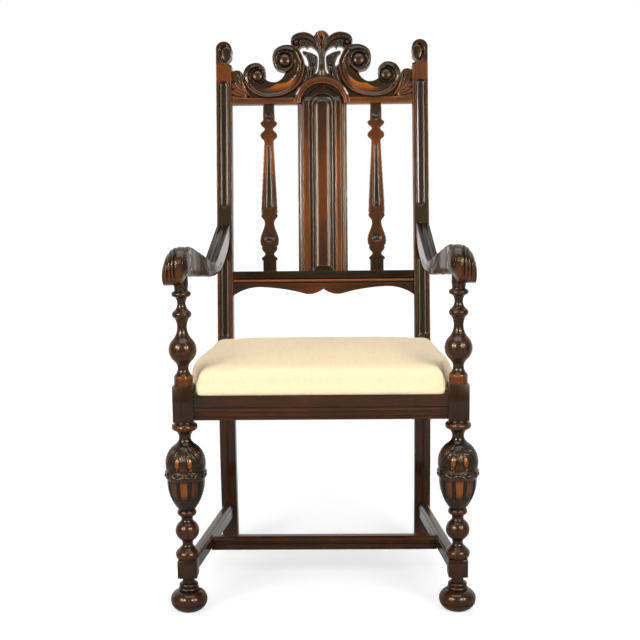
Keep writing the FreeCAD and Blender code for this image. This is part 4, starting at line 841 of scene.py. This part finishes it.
def baluster():
    """A flat sawn baluster with a tapering flute and two pearls."""
    middle = -126.5
    relief = Relief(middle - 23, middle + 23, 660.5, 1056, 0.7)
    half = smooth_line(BALUSTER_ROWS, 3)
    outline = np.vstack([half, (half * (-1, 1))[::-1]]) + (middle, 0)
    x, z = relief.x - middle, relief.z
    relief.layer(relief.area(outline), 0, edge=1.6)
    # a tapering flute with a small button at its foot
    reach = np.interp(z, (811, 826, 940, 957), (9.6, 9.2, 4.8, 3.6))
    share = np.abs(x) / reach
    inside = np.maximum(np.abs(x) - reach, np.maximum(812 - z, z - 958))
    relief.height -= smooth_step(-inside, -0.3, 0.8) * reach * 0.4 * (
        1 - 0.65 * np.clip(share, 0, 1) ** 4)
    # the flute is painted darker, most in its middle: painted shade
    relief.colour_and_painted_light -= 0.34 * smooth_step(-inside, 0, 0.8) * (1 - 0.5 * np.clip(share, 0, 1))
    relief.height += 2.4 * np.sqrt(np.maximum(1 - np.hypot(x / 5, (z - 820) / 5) ** 2, 0))
    # sunk ovals, each with a pearl
    for height, wide, tall in ((740.5, 10.6, 10.4), (1024.5, 8.0, 10.4)):
        off = (np.abs(x / wide) ** 2.4 + np.abs((z - height) / tall) ** 2.4) ** (1 / 2.4)
        relief.height -= 2.3 * np.clip((1.02 - off) / 0.42, 0, 1)
        dome = np.maximum(1 - (off / 0.52) ** 2, 0)
        relief.height += 3.0 * np.sqrt(dome)
        relief.colour_and_painted_light -= 0.16 * (off < 1) + 0.3 * (off < 0.6)
    relief.colour_and_painted_light += 0.2 * bell(z - 935, 75) + 0.08 * bell(z - 790, 40)
    relief.colour_and_painted_light -= 0.14 * (1 - smooth_step(z, 690, 720)) + 0.1 * smooth_step(z, 1005, 1040)
    solid = relief.build(12, sunk=11, taper=1.2)
    solid.finish("carved_baluster", wood_z, "baluster_splat", LEFT_FIRST)


def polar(centre, rows, start, turn=-45):
    """Points round a centre: one radius every so many degrees."""
    return [(centre[0] + r * math.cos(math.radians(start + k * turn)),
             centre[1] + r * math.sin(math.radians(start + k * turn)))
            for k, r in enumerate(rows)]


BIG_EYE, SMALL_EYE = (87.5, 1155.0), (152.0, 1119.0)
BIG_COIL = (46, 42, 36, 33.5, 29, 28, 27, 23, 19.5, 17.5, 14, 11, 9)
SMALL_COIL = (34.4, 33.6, 30.6, 25, 19.4, 17.4, 15.2, 15.2, 13.6, 11.5, 9)
STRAP_UNDER = ((40.8, 1140), (43, 1125), (47.5, 1111), (55, 1099), (65, 1088), (77, 1080),
    (92, 1073.6), (107, 1070.2), (127, 1069), (144, 1071.5), (159, 1078), (175, 1092.5))
STRAP_UPPER = ((133.4, 1112.5), (127, 1108), (119, 1105.6), (110, 1105.2), (101, 1108.4),
    (93, 1115), (85.5, 1127.8))


def crest_leaves(relief):
    """The ground, the leaves, the flat band, the stem, the leaf scrolls and the palmette."""
    x, z = relief.across, relief.z
    # ground between the band and the strap, and the leaves at the posts
    relief.layer(relief.area(((52, 1064), (54, 1092), (62, 1098), (90, 1082), (150, 1082),
        (186, 1104), (213, 1100), (213, 1064))), -6.5, edge=1)
    relief.layer(relief.area(((38, 1146), (46, 1146), (50, 1120), (60, 1100), (66, 1090),
        (56, 1092), (46, 1094), (38, 1110), (32, 1130))), -6.5, edge=1, colour_and_painted_light=-0.1)
    leaf = relief.area(((166, 1066), (178, 1088), (185, 1112), (188, 1127), (195, 1133),
        (203, 1133.6), (209, 1132), (213, 1131), (216, 1100), (216, 1066)))
    relief.layer(leaf, -1.2, edge=2.4)
    relief.colour_and_painted_light += 0.2 * (leaf < 0) * (1 - smooth_step(z, 1088, 1112))
    root = (172, 1070)
    for tip in ((222, 1079), (222, 1096), (216, 1113), (203, 1122), (194, 1126)):
        bend = ((root[0] + tip[0]) / 2 + 4, (root[1] + tip[1]) / 2 - 3)
        relief.groove((root, bend, tip), 1.5, 2.6)
    for notch in (((212, 1104), (205, 1108)), ((212, 1089), (202, 1089)),
                  ((199, 1116), (194, 1110))):
        relief.groove(notch, 1.6, 2.4, smooth=False)
    # flat band along the bottom
    band = np.maximum(np.maximum(z - 1067.4, 1053.5 - z), np.maximum(x - RAIL_HALF, 60 - x))
    relief.layer(band, -0.8, edge=1.4, colour_and_painted_light=0.14)
    # stem and its feet down both sides of the arch
    relief.layer(relief.area(((0, 1100), (60, 1060), (58, 1084), (52, 1096), (46, 1108),
        (42.5, 1125), (40.5, 1141), (38, 1143.5), (31, 1140), (24, 1130), (18.5, 1124.5),
        (13, 1124), (9.5, 1130), (7.6, 1142), (7, 1160), (8.5, 1180), (10, 1190), (6, 1200),
        (0, 1200))), -3.4, edge=2.6, colour_and_painted_light=-0.22)
    relief.groove(((38, 1140), (34, 1124), (37, 1108), (46, 1094)), 1.5, 2.0)
    relief.groove(((22, 1127), (27, 1113), (38, 1100)), 1.4, 1.6)
    relief.height += 2.2 * bell(x, 3.6) * smooth_step(z, 1116, 1130)
    fill = smooth_step(z, 1114, 1118) * (1 - smooth_step(z, 1132, 1146)) * bell(x, 11)
    relief.height += 1.6 * fill
    relief.colour_and_painted_light += 0.12 * fill
    # husk leaf
    husk = relief.area(((20, 1122), (14, 1131), (10.5, 1142), (9.6, 1155), (10.4, 1163.5),
        (18, 1169), (27, 1173.4), (36, 1175.4), (43.5, 1176.6), (45, 1173), (40, 1168.5),
        (36.4, 1163), (33.4, 1155), (31.4, 1148), (32, 1141), (28, 1132)), smooth=True)
    relief.layer(husk, -2.2, edge=2.4, colour_and_painted_light=-0.2)
    for tip in ((14, 1166), (20, 1170), (26, 1171), (32, 1171)):
        relief.groove(((22, 1124), (15 + (tip[0] - 14) * 0.55, 1145), tip), 1.1, 2.2)
    # leaf scroll
    scroll = relief.area(((5, 1150), (7, 1165), (10.5, 1176), (15, 1181.5), (22, 1187),
        (28, 1189), (32, 1186.5), (35, 1183.5), (39, 1188.5), (46, 1188), (52, 1184.4),
        (57, 1184), (64, 1187.4), (70, 1191), (73, 1198), (71.6, 1207), (67, 1213.6), (60, 1218),
        (50, 1220.6), (40, 1221.2), (30, 1218.6), (22, 1214.2), (15.5, 1209), (8, 1200),
        (2, 1185)), smooth=True)
    relief.layer(scroll, -0.6, edge=2.6, colour_and_painted_light=-0.08 - 0.14 * (x > 44))
    relief.groove(((9, 1172), (14, 1186), (23, 1196), (34, 1202), (45, 1204), (54, 1201.5),
        (57.5, 1196.5)), 1.5, 3.0)
    relief.groove(((7, 1178), (11, 1193), (20, 1204), (32, 1211), (45, 1213.6), (57, 1211),
        (65.5, 1204), (67, 1196), (63.5, 1190)), 1.2, 1.7)
    relief.groove(((36, 1187), (40, 1193), (46, 1197)), 1.5, 2.4)
    relief.groove(((52.5, 1186.5), (52.6, 1191), (54, 1195)), 1.5, 2.8)
    eye = np.hypot(x - 60.5, z - 1196)
    relief.height -= 3.4 * bell(eye - 6.6, 1.7)
    relief.colour_and_painted_light -= 0.2 * bell(eye, 7)
    relief.height = np.where(eye < 4.6, np.maximum(relief.height, -1.6 + np.sqrt(
        np.maximum(21.2 - eye ** 2, 0)) * 0.62), relief.height)
    # palmette
    palm = relief.area(((0, 1179), (4.5, 1186), (7.4, 1194), (10, 1200), (15, 1205.4),
        (18, 1208.6), (16.5, 1214), (11.5, 1220.6), (5, 1223.8), (0, 1224.4)))
    relief.layer(palm, 0.4, edge=3.0)
    relief.height -= 4.8 * smooth_step(-(np.hypot(x / 0.62, (z - 1199) / 1.5) - 9), 0, 3)
    relief.groove(((4.6, 1190), (8.4, 1204), (11.4, 1216)), 1.2, 2.2)
    # the palmette's top and a stripe down its middle are painted lighter: painted highlight
    relief.colour_and_painted_light += 0.34 * bell(np.hypot(x, z - 1218), 7) + 0.24 * bell(x, 3) * bell(z - 1204, 9)
    # arch band
    ring = np.hypot(x, z - ARCH[1])
    band = np.maximum(np.maximum(52 - ring, ring - 66.5), 1053.5 - z)
    relief.layer(band, -0.4, edge=1.6, colour_and_painted_light=0.14)
    relief.groove(np.array([(56.2 * math.cos(a), ARCH[1] + 56.2 * math.sin(a))
                            for a in np.linspace(0, math.pi / 2 + 0.2, 60)]), 1.0, 1.7,
                  smooth=False)


def crest_straps(relief):
    """The C-scroll straps, each with a volute at both ends."""
    x, z = relief.across, relief.z
    coil = (polar(BIG_EYE, BIG_COIL, 180)[::-1] + list(STRAP_UNDER)
            + polar(SMALL_EYE, SMALL_COIL, 0, 45))
    rim = smooth_line(coil, 6)
    body = (polar(BIG_EYE, BIG_COIL, 180)[6::-1] + list(STRAP_UNDER)
            + polar(SMALL_EYE, SMALL_COIL, 0, 45)[:5])
    body = np.vstack([smooth_line(body, 6), smooth_line(STRAP_UPPER, 4)])
    strap = relief.area(body)
    off = distance(x, z, rim, side=True)
    inner, outer = np.maximum(off, 0), np.maximum(-off, 0)
    cove = 5.4 * np.sin(np.clip((inner - 2.0) / 9.0, 0, 1) * math.pi / 2) ** 1.15
    cove *= 1 - 0.78 * smooth_step(inner, 13, 32)
    step_down = np.where(outer > 0, 5.0 + 3.2 * bell(outer, 3.2), 0) * smooth_step(outer, 0, 0.9)
    bead = 0.9 * bell(inner - 1.1, 1.3)
    form = np.where(off > 0, bead - cove, -step_down)
    # each volute is a smooth whorl round a low disc, with one sunk ring
    whorls = np.zeros(x.shape)
    for centre, disc, ring, full, turn in ((BIG_EYE, 12.5, 16.5, 23.5, x - 63),
                                           (SMALL_EYE, 11.0, 14.0, 19.0, z - 1098)):
        d = np.hypot(x - centre[0], z - centre[1])
        face = 0.4 - 0.022 * (d - full) ** 2 - 3.6 * bell(d - ring, 1.7)
        face = np.where(d < disc + 1, -1.6 + 0.34 * np.sqrt(
            np.maximum((disc + 1) ** 2 - d ** 2, 0)), face)
        share = np.maximum(smooth_step(inner, 1.6, 5), smooth_step(full + 1 - d, 0, 3))
        share = share * smooth_step(turn, 0, 6) * (d < 37)
        share = np.maximum(share, smooth_step(disc + 2.5 - d, 0, 1.5))
        form = form * (1 - share) + face * share
        whorls = np.maximum(whorls, share * (1 - 1.9 * (d < disc)))
    relief.layer(strap, 1.2, edge=1.3)
    here = strap < 0
    relief.height = np.where(here, relief.height + form, relief.height)
    # a broad orange patch in the strap's channel, away from its rim, is a painted pool of light;
    # the volutes are painted darker
    glow = bell(np.hypot((x - 90) / 1.6, z - 1104), 18) + 0.6 * bell(
        np.hypot((x - 120) / 1.6, z - 1094), 13)
    relief.colour_and_painted_light = np.where(here, 0.75 * glow * smooth_step(inner, 4, 10) * (1 - whorls)
                           - 0.12 * whorls - 0.06, relief.colour_and_painted_light)


def crest():
    """The pierced crest over the arch: its right half is drawn, and folded to the left."""
    relief = Relief(-RAIL_HALF - 0.4, RAIL_HALF + 0.4, 1053, 1225.5, 0.75, fold=True)
    crest_leaves(relief)
    crest_straps(relief)
    # the small opening between the strap and the arch
    relief.solid = np.maximum(relief.solid, -relief.area(((49.6, 1093), (52.4, 1094),
        (62.6, 1077), (61.8, 1073.4), (58.6, 1074.6))))
    solid = relief.build(24, sunk=5, edge=0.8, gain=0.1, base=0.4, blur_mm=4.5)
    solid.finish("carved_crest", wood_x, "crest_rail")


# ---------------------------------------------------------------- arms

def leaning(z):
    """How far the front face of a post is behind the legs' axis, at a height."""
    return SEAT_RUN + LEAN * (z - BEND) / (POST_TOP - BEND)


ARM_TOP, ARM_LOW = 774, 742  # where the arm meets the post
ARM_RUN = leaning(ARM_TOP)
ROLL_Y, ROLL_R = -12.0, 38.5
ARM_PLACES = np.array((-0.13, 0.03, 0.16, 0.28, 0.4, 0.5, 0.75, 1.03)) * ARM_RUN
ARM_INNER = 256 - np.array((0, 0.02, 0.22, 0.5, 0.68, 0.78, 0.92, 1)) * (256 - 217)
ARM_WIDTH = 31.5 + np.array((1.15, 1.1, 0.7, 0.25, -0.05, -0.2, -0.12, 0)) * 18.5


def arm():
    """The right arm, drawn from the side and given its plan, reeds and hand scroll."""
    def share(back, rise):
        return back * ARM_RUN, ARM_SEAT + rise * 96

    outline = along(((ARM_RUN, ARM_TOP), share(0.745, 0.722) + share(0.5, 0.36),
        share(0.42, 0.285) + share(0.335, 0.35), share(0.18, 0.6), (ROLL_Y + 8, ARM_SEAT + 2 *
        ROLL_R - 0.2), (ROLL_Y, ARM_SEAT + 2 * ROLL_R), (ROLL_Y - ROLL_R, ARM_SEAT + ROLL_R,
        ROLL_Y, ARM_SEAT), share(0.04, 0), share(0.08, 0.1), share(0.22, 0.08), share(0.42, -0.01)
        + share(0.65, 0.1), share(0.83, 0.35), (leaning(ARM_LOW), ARM_LOW)), 16)
    relief = Relief(-52, ARM_RUN + 2, 674, 777, 0.9)
    relief.layer(relief.area(outline), 0, edge=2.4)
    # inner face: the eye of the scroll and two incised lines that follow the arm
    relief.groove(((60, 742), (30, 753), (0, 752), (-24, 741), (-36, 722), (-34, 702), (-20, 690),
        (-2, 692), (10, 706), (8, 722), (-4, 731), (-18, 726), (-22, 713), (-13, 705)), 1.6, 2.6)
    low = outline[(outline[:, 0] > 70) & (outline[:, 1] < 745)]
    for lift in (9, 14):
        relief.groove(low[::4] + (0, lift), 1.0, 1.3)
    inner_line = smooth_line(np.column_stack([ARM_PLACES, ARM_INNER]))
    width_line = smooth_line(np.column_stack([ARM_PLACES, ARM_WIDTH]))

    def hand(py):
        return 1 - smooth_step(py, 8, 78)

    def width_at(py):
        return np.interp(py, width_line[:, 0], width_line[:, 1])

    def place(p, setback):
        py, pz = p[..., 0], p[..., 1]
        wide = width_at(py)
        part = np.clip(setback / wide, 0, 1)
        bend = 1 - np.sqrt(np.maximum(1 - np.clip((part - 0.42) / 0.6, 0, 0.985) ** 2, 0))
        drop = bend * hand(py)
        lift = pz - ARM_SEAT
        new_z = ARM_SEAT + lift * (1 - 0.66 * drop)
        x = np.interp(py, inner_line[:, 0], inner_line[:, 1]) + setback
        # the inner half of the hand ends higher than the roll outside it
        new_z += 27 * (1 - smooth_step(x, 256, 276)) * hand(py) * np.clip(1 - lift / 76, 0, 1)
        front = np.minimum(py - ROLL_Y, 0)
        new_y = py - front * 0.34 * drop
        return np.stack([x, FRONT_Y + new_y, new_z], -1)

    def reeds(flat, part, out):
        """Broad reeds over the top and down the front of the hand; hollows along the arm."""
        py, pz = flat[:, 0], flat[:, 1]
        facing = np.clip(out[:, 1] * 1.4 + 0.35 - out[:, 0] * 1.2 * (py < 0), 0, 1)
        on = smooth_step(pz, 680, 690) * (py < 20)
        on = on + smooth_step(out[:, 1], 0.1, 0.5) * (py >= 20)
        here = hand(py)
        place_in = np.interp(part, (0, 0.114, 0.511, 0.653, 0.795, 1), (0.5, 1, 2, 3, 4, 5)) % 1
        ridge = 2 * np.abs(place_in - 0.5)
        groove = 1 - np.sqrt(np.maximum(1 - ridge ** 2.4, 0))
        flute = np.sin(np.clip((part - 0.14) / 0.32, 0, 1) * math.pi) ** 0.8 + \
            np.sin(np.clip((part - 0.56) / 0.3, 0, 1) * math.pi) ** 0.8
        deep = (3.2 * groove * here + 3.0 * flute * (1 - here)) * on * facing
        edge = 2.0 * (bell(part, 0.03) + bell(1 - part, 0.05) * (1 - here))
        low = 1 - smooth_step(pz, 700, 735)
        # the grooves are painted darker by their depth: painted shade
        shade = 0.42 + 0.2 * on * here * low - 0.15 * deep * on
        return deep + edge, np.clip(shade, 0.05, 1)

    def far(flat, depth):
        wide = width_at(flat[:, 0])
        return wide - bump_edge(-depth, 3.0) * (1 - 0.6 * hand(flat[:, 0]))

    solid = relief.build(far, place, edge=0.8, walls=False)
    # the rim is a sheet of its own round the outline, from the inner face to the outer
    line = resample(np.vstack([outline, outline[:1]]), 1.0)[:-1]
    run = sum(np.roll(line, -k, 0) - np.roll(line, k, 0) for k in (1, 2, 3, 4))
    out = np.column_stack([run[:, 1], -run[:, 0]])
    out /= np.linalg.norm(out, axis=1)[:, None]
    if distance(*(line[:1] + out[:1] * 2).T, outline, closed=True)[0] < 0:
        out = -out
    inside, outside = 3.04, far(line, np.zeros(len(line)))
    rows, tones = [place(line, np.full(len(line), inside))], [np.full(len(line), 0.42)]
    for part in np.linspace(0, 1, 64):
        deep, shade = reeds(line, part, out)
        rows.append(place(line - out * deep[:, None], inside * (1 - part) + outside * part))
        tones.append(shade)
    rows.append(place(line, outside))
    tones.append(tones[0])
    solid.grid(np.array(rows), np.array(tones), wrap=True, flip=True)
    solid.finish("carved_arm", wood_y, "arm", RIGHT_FIRST, sharp=70, closed=False)


# ---------------------------------------------------------------- upholstered seat

# rows of shares of (half leg spacing, depth of the seat)
PAD_ROWS = ((0, -0.05), (0.878, -0.05), (0.907, -0.043, 0.917, -0.02), (0.917, 0.075),
    (0.973, 0.165), (1.003, 0.25, 1.009, 0.37), (0.934, 0.945), (0.92, 0.975, 0.88, 0.988),
    (0.76, 0.988), (0.755, 1.03), (0, 1.03))
PAD_LOW = 459.9
PAD_MIDDLE = np.array([0, FRONT_Y + 0.47 * SEAT_RUN])
PAD_REACH = np.array([LEG_X, SEAT_RUN / 2])


def pad_ring(inset):
    """The outline of the seat, drawn in by so much."""
    rows = mapped(PAD_ROWS, lambda x, y: (x * LEG_X, FRONT_Y + y * SEAT_RUN))
    half = resample(along(rows, 8), 6.0)
    plan = np.vstack([half, (half * (-1, 1))[::-1][1:-1]])
    return PAD_MIDDLE + (plan - PAD_MIDDLE) * (1 - inset / PAD_REACH)


def closed_mesh(name, work):
    mesh = bpy.data.meshes.new(name)
    work.to_mesh(mesh)
    work.free()
    return mesh


def move_points(piece, points):
    piece.data.vertices.foreach_set("co", (points * MM).ravel())
    piece.data.update()


def points_of(mesh):
    return np.array([v.co for v in mesh.vertices]) / MM


def cushion():
    """The stuffed seat: a crowned closed form that swells between its edges."""
    low, side_top = PAD_LOW + 0.6, 482.0
    work = bmesh.new()
    levels = []
    for z, inset in ((low, 4), (low + 3, 2), (low + 10, 1), (side_top, 1),
                     (side_top + 7, 4.2), (side_top + 12.5, 10), (side_top + 16.5, 20)):
        levels.append([work.verts.new((*(p * MM), z * MM)) for p in pad_ring(inset)])
    for a, b in zip(levels[:-1], levels[1:]):
        for k in range(len(a)):
            n = (k + 1) % len(a)
            work.faces.new((a[k], a[n], b[n], b[k]))
    work.faces.new(levels[0][::-1])
    work.faces.new(levels[-1])
    bmesh.ops.recalc_face_normals(work, faces=work.faces)
    pad = link("silk_seat", closed_mesh("silk_seat", work))
    apply_modifier(pad, "REMESH", mode="VOXEL", voxel_size=0.0055)
    start = points_of(pad.data)
    crown = np.clip(1 - ((start[:, :2] - PAD_MIDDLE) / (PAD_REACH * (1.02, 1.1))) ** 2, 0, 1)
    lift = np.clip((start[:, 2] - side_top) / 15, 0, 1)
    start[:, 2] += 15 * lift * (crown[:, 0] * crown[:, 1]) ** 0.2
    start[:, 2] += 5 * lift * smooth_step(start[:, 1], 20, 130)
    move_points(pad, start)
    swell(pad, start, low + 2.5, cap=4.0)
    apply_modifier(pad, "SMOOTH", factor=0.5, iterations=5)
    apply_modifier(pad, "SUBSURF", levels=1, render_levels=1)
    points = points_of(pad.data)
    # soft creases that run from front to back
    rng = np.random.default_rng(7)
    normal = np.array([v.normal for v in pad.data.vertices])
    height = np.zeros(len(points))
    for _ in range(26):
        at = np.array([rng.uniform(-240, 240), rng.uniform(-262, 150)])
        turn = rng.normal(0, 0.28)
        long, wide = rng.uniform(45, 120), rng.uniform(3.5, 7)
        d = points[:, :2] - at
        across = d[:, 0] * math.cos(turn) + d[:, 1] * math.sin(turn)
        down = -d[:, 0] * math.sin(turn) + d[:, 1] * math.cos(turn)
        height += rng.uniform(0.25, 0.7) * bell(across, wide) * bell(down, long)
    points += normal * (height * smooth_step(points[:, 2], 480, 492))[:, None]
    # the crown flattens out above its knee
    knee, room = 500, 17
    high = np.maximum(points[:, 2] - knee, 0)
    points[:, 2] = np.where(high > 0, knee + room * np.tanh(high / room), points[:, 2])
    points[:, 2] = np.maximum(points[:, 2], PAD_LOW)
    # the front roll hangs a little over the rail
    hang = smooth_step(-points[:, 1], 258, 262) * (1 - smooth_step(points[:, 2], 458, 484))
    points[:, 1] -= 4.5 * hang
    points[:, 2] -= 6 * hang
    move_points(pad, points)
    pad.data.shade_smooth()
    pad.data.materials.append(silk)
    stand_for(pad, "silk", "seat_cover", "seat_stuffing")


def apply_modifier(piece, kind, **values):
    modifier = piece.modifiers.new(kind.lower(), kind)
    for key, value in values.items():
        setattr(modifier, key, value)
    graph = bpy.context.evaluated_depsgraph_get()
    mesh = bpy.data.meshes.new_from_object(piece.evaluated_get(graph))
    piece.modifiers.clear()
    piece.data = mesh


CLOTH = {"vertex_group_mass": "held", "quality": 5, "mass": 0.3, "tension_stiffness": 30,
         "compression_stiffness": 12, "shear_stiffness": 8, "bending_stiffness": 1.5,
         "use_pressure": True, "uniform_pressure_force": 4}
FRAMES = 20


def swell(pad, start, fixed_below, cap):
    """Blows the pad up as cloth and applies it, with no point moved further than the cap."""
    group = pad.vertex_groups.new(name="held")
    group.add(np.nonzero(start[:, 2] < fixed_below)[0].tolist(), 1.0, "REPLACE")
    modifier = pad.modifiers.new("cloth", "CLOTH")
    for key, value in CLOTH.items():
        setattr(modifier.settings, key, value)
    modifier.settings.effector_weights.gravity = 0
    modifier.point_cache.frame_start, modifier.point_cache.frame_end = 1, FRAMES
    scene = bpy.context.scene
    for number in range(1, FRAMES + 1):
        scene.frame_set(number)
    blown = pad.evaluated_get(bpy.context.evaluated_depsgraph_get())
    moved = points_of(blown.to_mesh())
    blown.to_mesh_clear()
    pad.modifiers.clear()
    step = (moved - start) * smooth_step(start[:, 2], fixed_below, fixed_below + 14)[:, None]
    step[:, 2] = np.maximum(step[:, 2], 0)
    length = np.linalg.norm(step, axis=1)
    step *= (np.minimum(length, cap) / np.maximum(length, 1e-9))[:, None]
    move_points(pad, start + step)
    scene.frame_set(1)


def dust_cloth():
    """Black cloth under the seat frame, drawn as one flat sheet a little in from its edge, where
    the real cloth is turned in and tacked.
    """
    ring = pad_ring(26.6)
    work = bmesh.new()
    work.faces.new([work.verts.new((*(p * MM), PAD_LOW * MM)) for p in ring])
    bmesh.ops.triangulate(work, faces=work.faces)
    for _ in range(3):
        bmesh.ops.subdivide_edges(work, edges=work.edges, cuts=1)
    cloth = link("bottoming_cloth", closed_mesh("bottoming_cloth", work))
    cloth.data.materials.append(black_cloth)
    stand_for(cloth, "dust_cloth", "seat_dust_cloth")
    x, y = ring[:, 0], ring[:, 1]
    area = 0.5 * abs(np.dot(x, np.roll(y, 1)) - np.dot(y, np.roll(x, 1))) * MM * MM
    np.ptp(x) * MM
    np.ptp(y) * MM


for make in (front_post, bun_foot, rails, rear_post, lower_rail, splat, baluster, crest, arm,
             cushion, dust_cloth, dress_nodes):
    make()


# ---------------------------------------------------------------- floor, light and camera

ROOM_LEVEL = 0.15  # of the world, wherever it isn't seen as the white background
SOFT_POWER, POLISH_POWER, TOP_POWER = 57, 700, 38
LAMP_REACH, LAMP_HEIGHT, LAMP_AIM = 3.3, 1.8, (0, 0, 0.7)


def seen_white(nodes, place):
    """1 for camera and transmission rays, and for glossy rays that go to the back."""
    behind = nodes("MapRange", "Result", nodes("SeparateXYZ", "Y", place), From_Min=-0.1,
                   From_Max=0.6)
    total = nodes("LightPath", "Is Glossy Ray")
    ray = total.node.outputs
    for term, kind in ((behind, "MULTIPLY"), (ray["Is Camera Ray"], "MAXIMUM"),
                       (ray["Is Transmission Ray"], "MAXIMUM")):
        total = nodes("Math", 0, total, term, operation=kind)
    return total


def lamp(name, place, size, power, shape="SQUARE", colour=(1, 1, 1), hidden_from=None):
    """An area lamp that points down, or at the chair where it is hidden from some rays."""
    light = bpy.data.lights.new(name, "AREA")
    light.shape, light.energy, light.color = shape, power, colour
    light.size, light.size_y = size
    holder = link(name, light)
    holder.location = place
    if hidden_from:
        toward = Vector(LAMP_AIM) - holder.location
        holder.rotation_euler = toward.to_track_quat("-Z", "Y").to_euler()
        setattr(holder, "visible_" + hidden_from, False)


def studio():
    """A white floor and surround behind the chair, a dim room in front, soft boxes."""
    material, nodes, shader = new_material("pale_floor")
    place = nodes("NewGeometry", "Position")
    reach = nodes("VectorMath", "Value", place, operation="LENGTH")
    far = nodes("MapRange", "Result", reach, From_Min=0.7, From_Max=4.5, To_Min=0.66,
                To_Max=1.0)
    glow = nodes("Math", 0, seen_white(nodes, place), far, operation="MULTIPLY")
    nodes.put(shader, Base_Color=(0.6, 0.6, 0.6, 1), Roughness=0.9, Specular_IOR_Level=0.0,
              Emission_Color=(1, 1, 1, 1), Emission_Strength=glow)
    bpy.ops.mesh.primitive_plane_add(size=30, location=(0, 6, 0))
    floor = bpy.context.object
    floor.name = "floor"
    floor.data.materials.append(material)

    world = bpy.data.worlds.new("studio")
    bpy.context.scene.world = world
    nodes = Nodes(world)
    white = seen_white(nodes, nodes("TexCoord", "Generated"))
    level = nodes("MapRange", "Result", white, To_Min=ROOM_LEVEL, To_Max=1.0)
    nodes.put(nodes.tree.nodes["Background"], Color=(1, 1, 1, 1), Strength=level)

    # each side has a soft box, and a second one that only the polish reflects
    for side, degrees in (("left", -39), ("right", 35)):
        turn = math.radians(degrees)
        spot = (LAMP_REACH * math.sin(turn), -LAMP_REACH * math.cos(turn), LAMP_HEIGHT)
        lamp("soft_box_" + side, spot, (1.3, 1.7), SOFT_POWER, "RECTANGLE",
             hidden_from="glossy")
        lamp("polish_box_" + side, spot, (1.5, 1.5), POLISH_POWER, "ELLIPSE",
             (1, 0.94, 0.86), hidden_from="diffuse")
    lamp("top_box", (0, -0.5, 2.7), (2.0, 2.0), TOP_POWER)


def camera():
    """The view that was fitted to the photograph."""
    yaw, pitch, roll = [math.radians(v) for v in (-1.236, 7.852, -0.637)]
    forward = Vector((math.sin(yaw) * math.cos(pitch), math.cos(yaw) * math.cos(pitch),
                      -math.sin(pitch)))
    right = Vector((math.cos(yaw), -math.sin(yaw), 0))
    above = right.cross(forward)
    turned_right = right * math.cos(roll) + above * math.sin(roll)
    turned_up = above * math.cos(roll) - right * math.sin(roll)
    lens = bpy.data.cameras.new("view")
    lens.sensor_width, lens.lens = 36, 67.5
    holder = link("view", lens)
    axes = Matrix((turned_right, turned_up, -forward)).transposed()
    holder.matrix_world = Matrix.Translation((0.0515, -2.62615, 0.9328)) @ axes.to_4x4()
    bpy.context.scene.camera = holder


studio()
camera()
bpy.context.scene.view_settings.view_transform = "Standard"
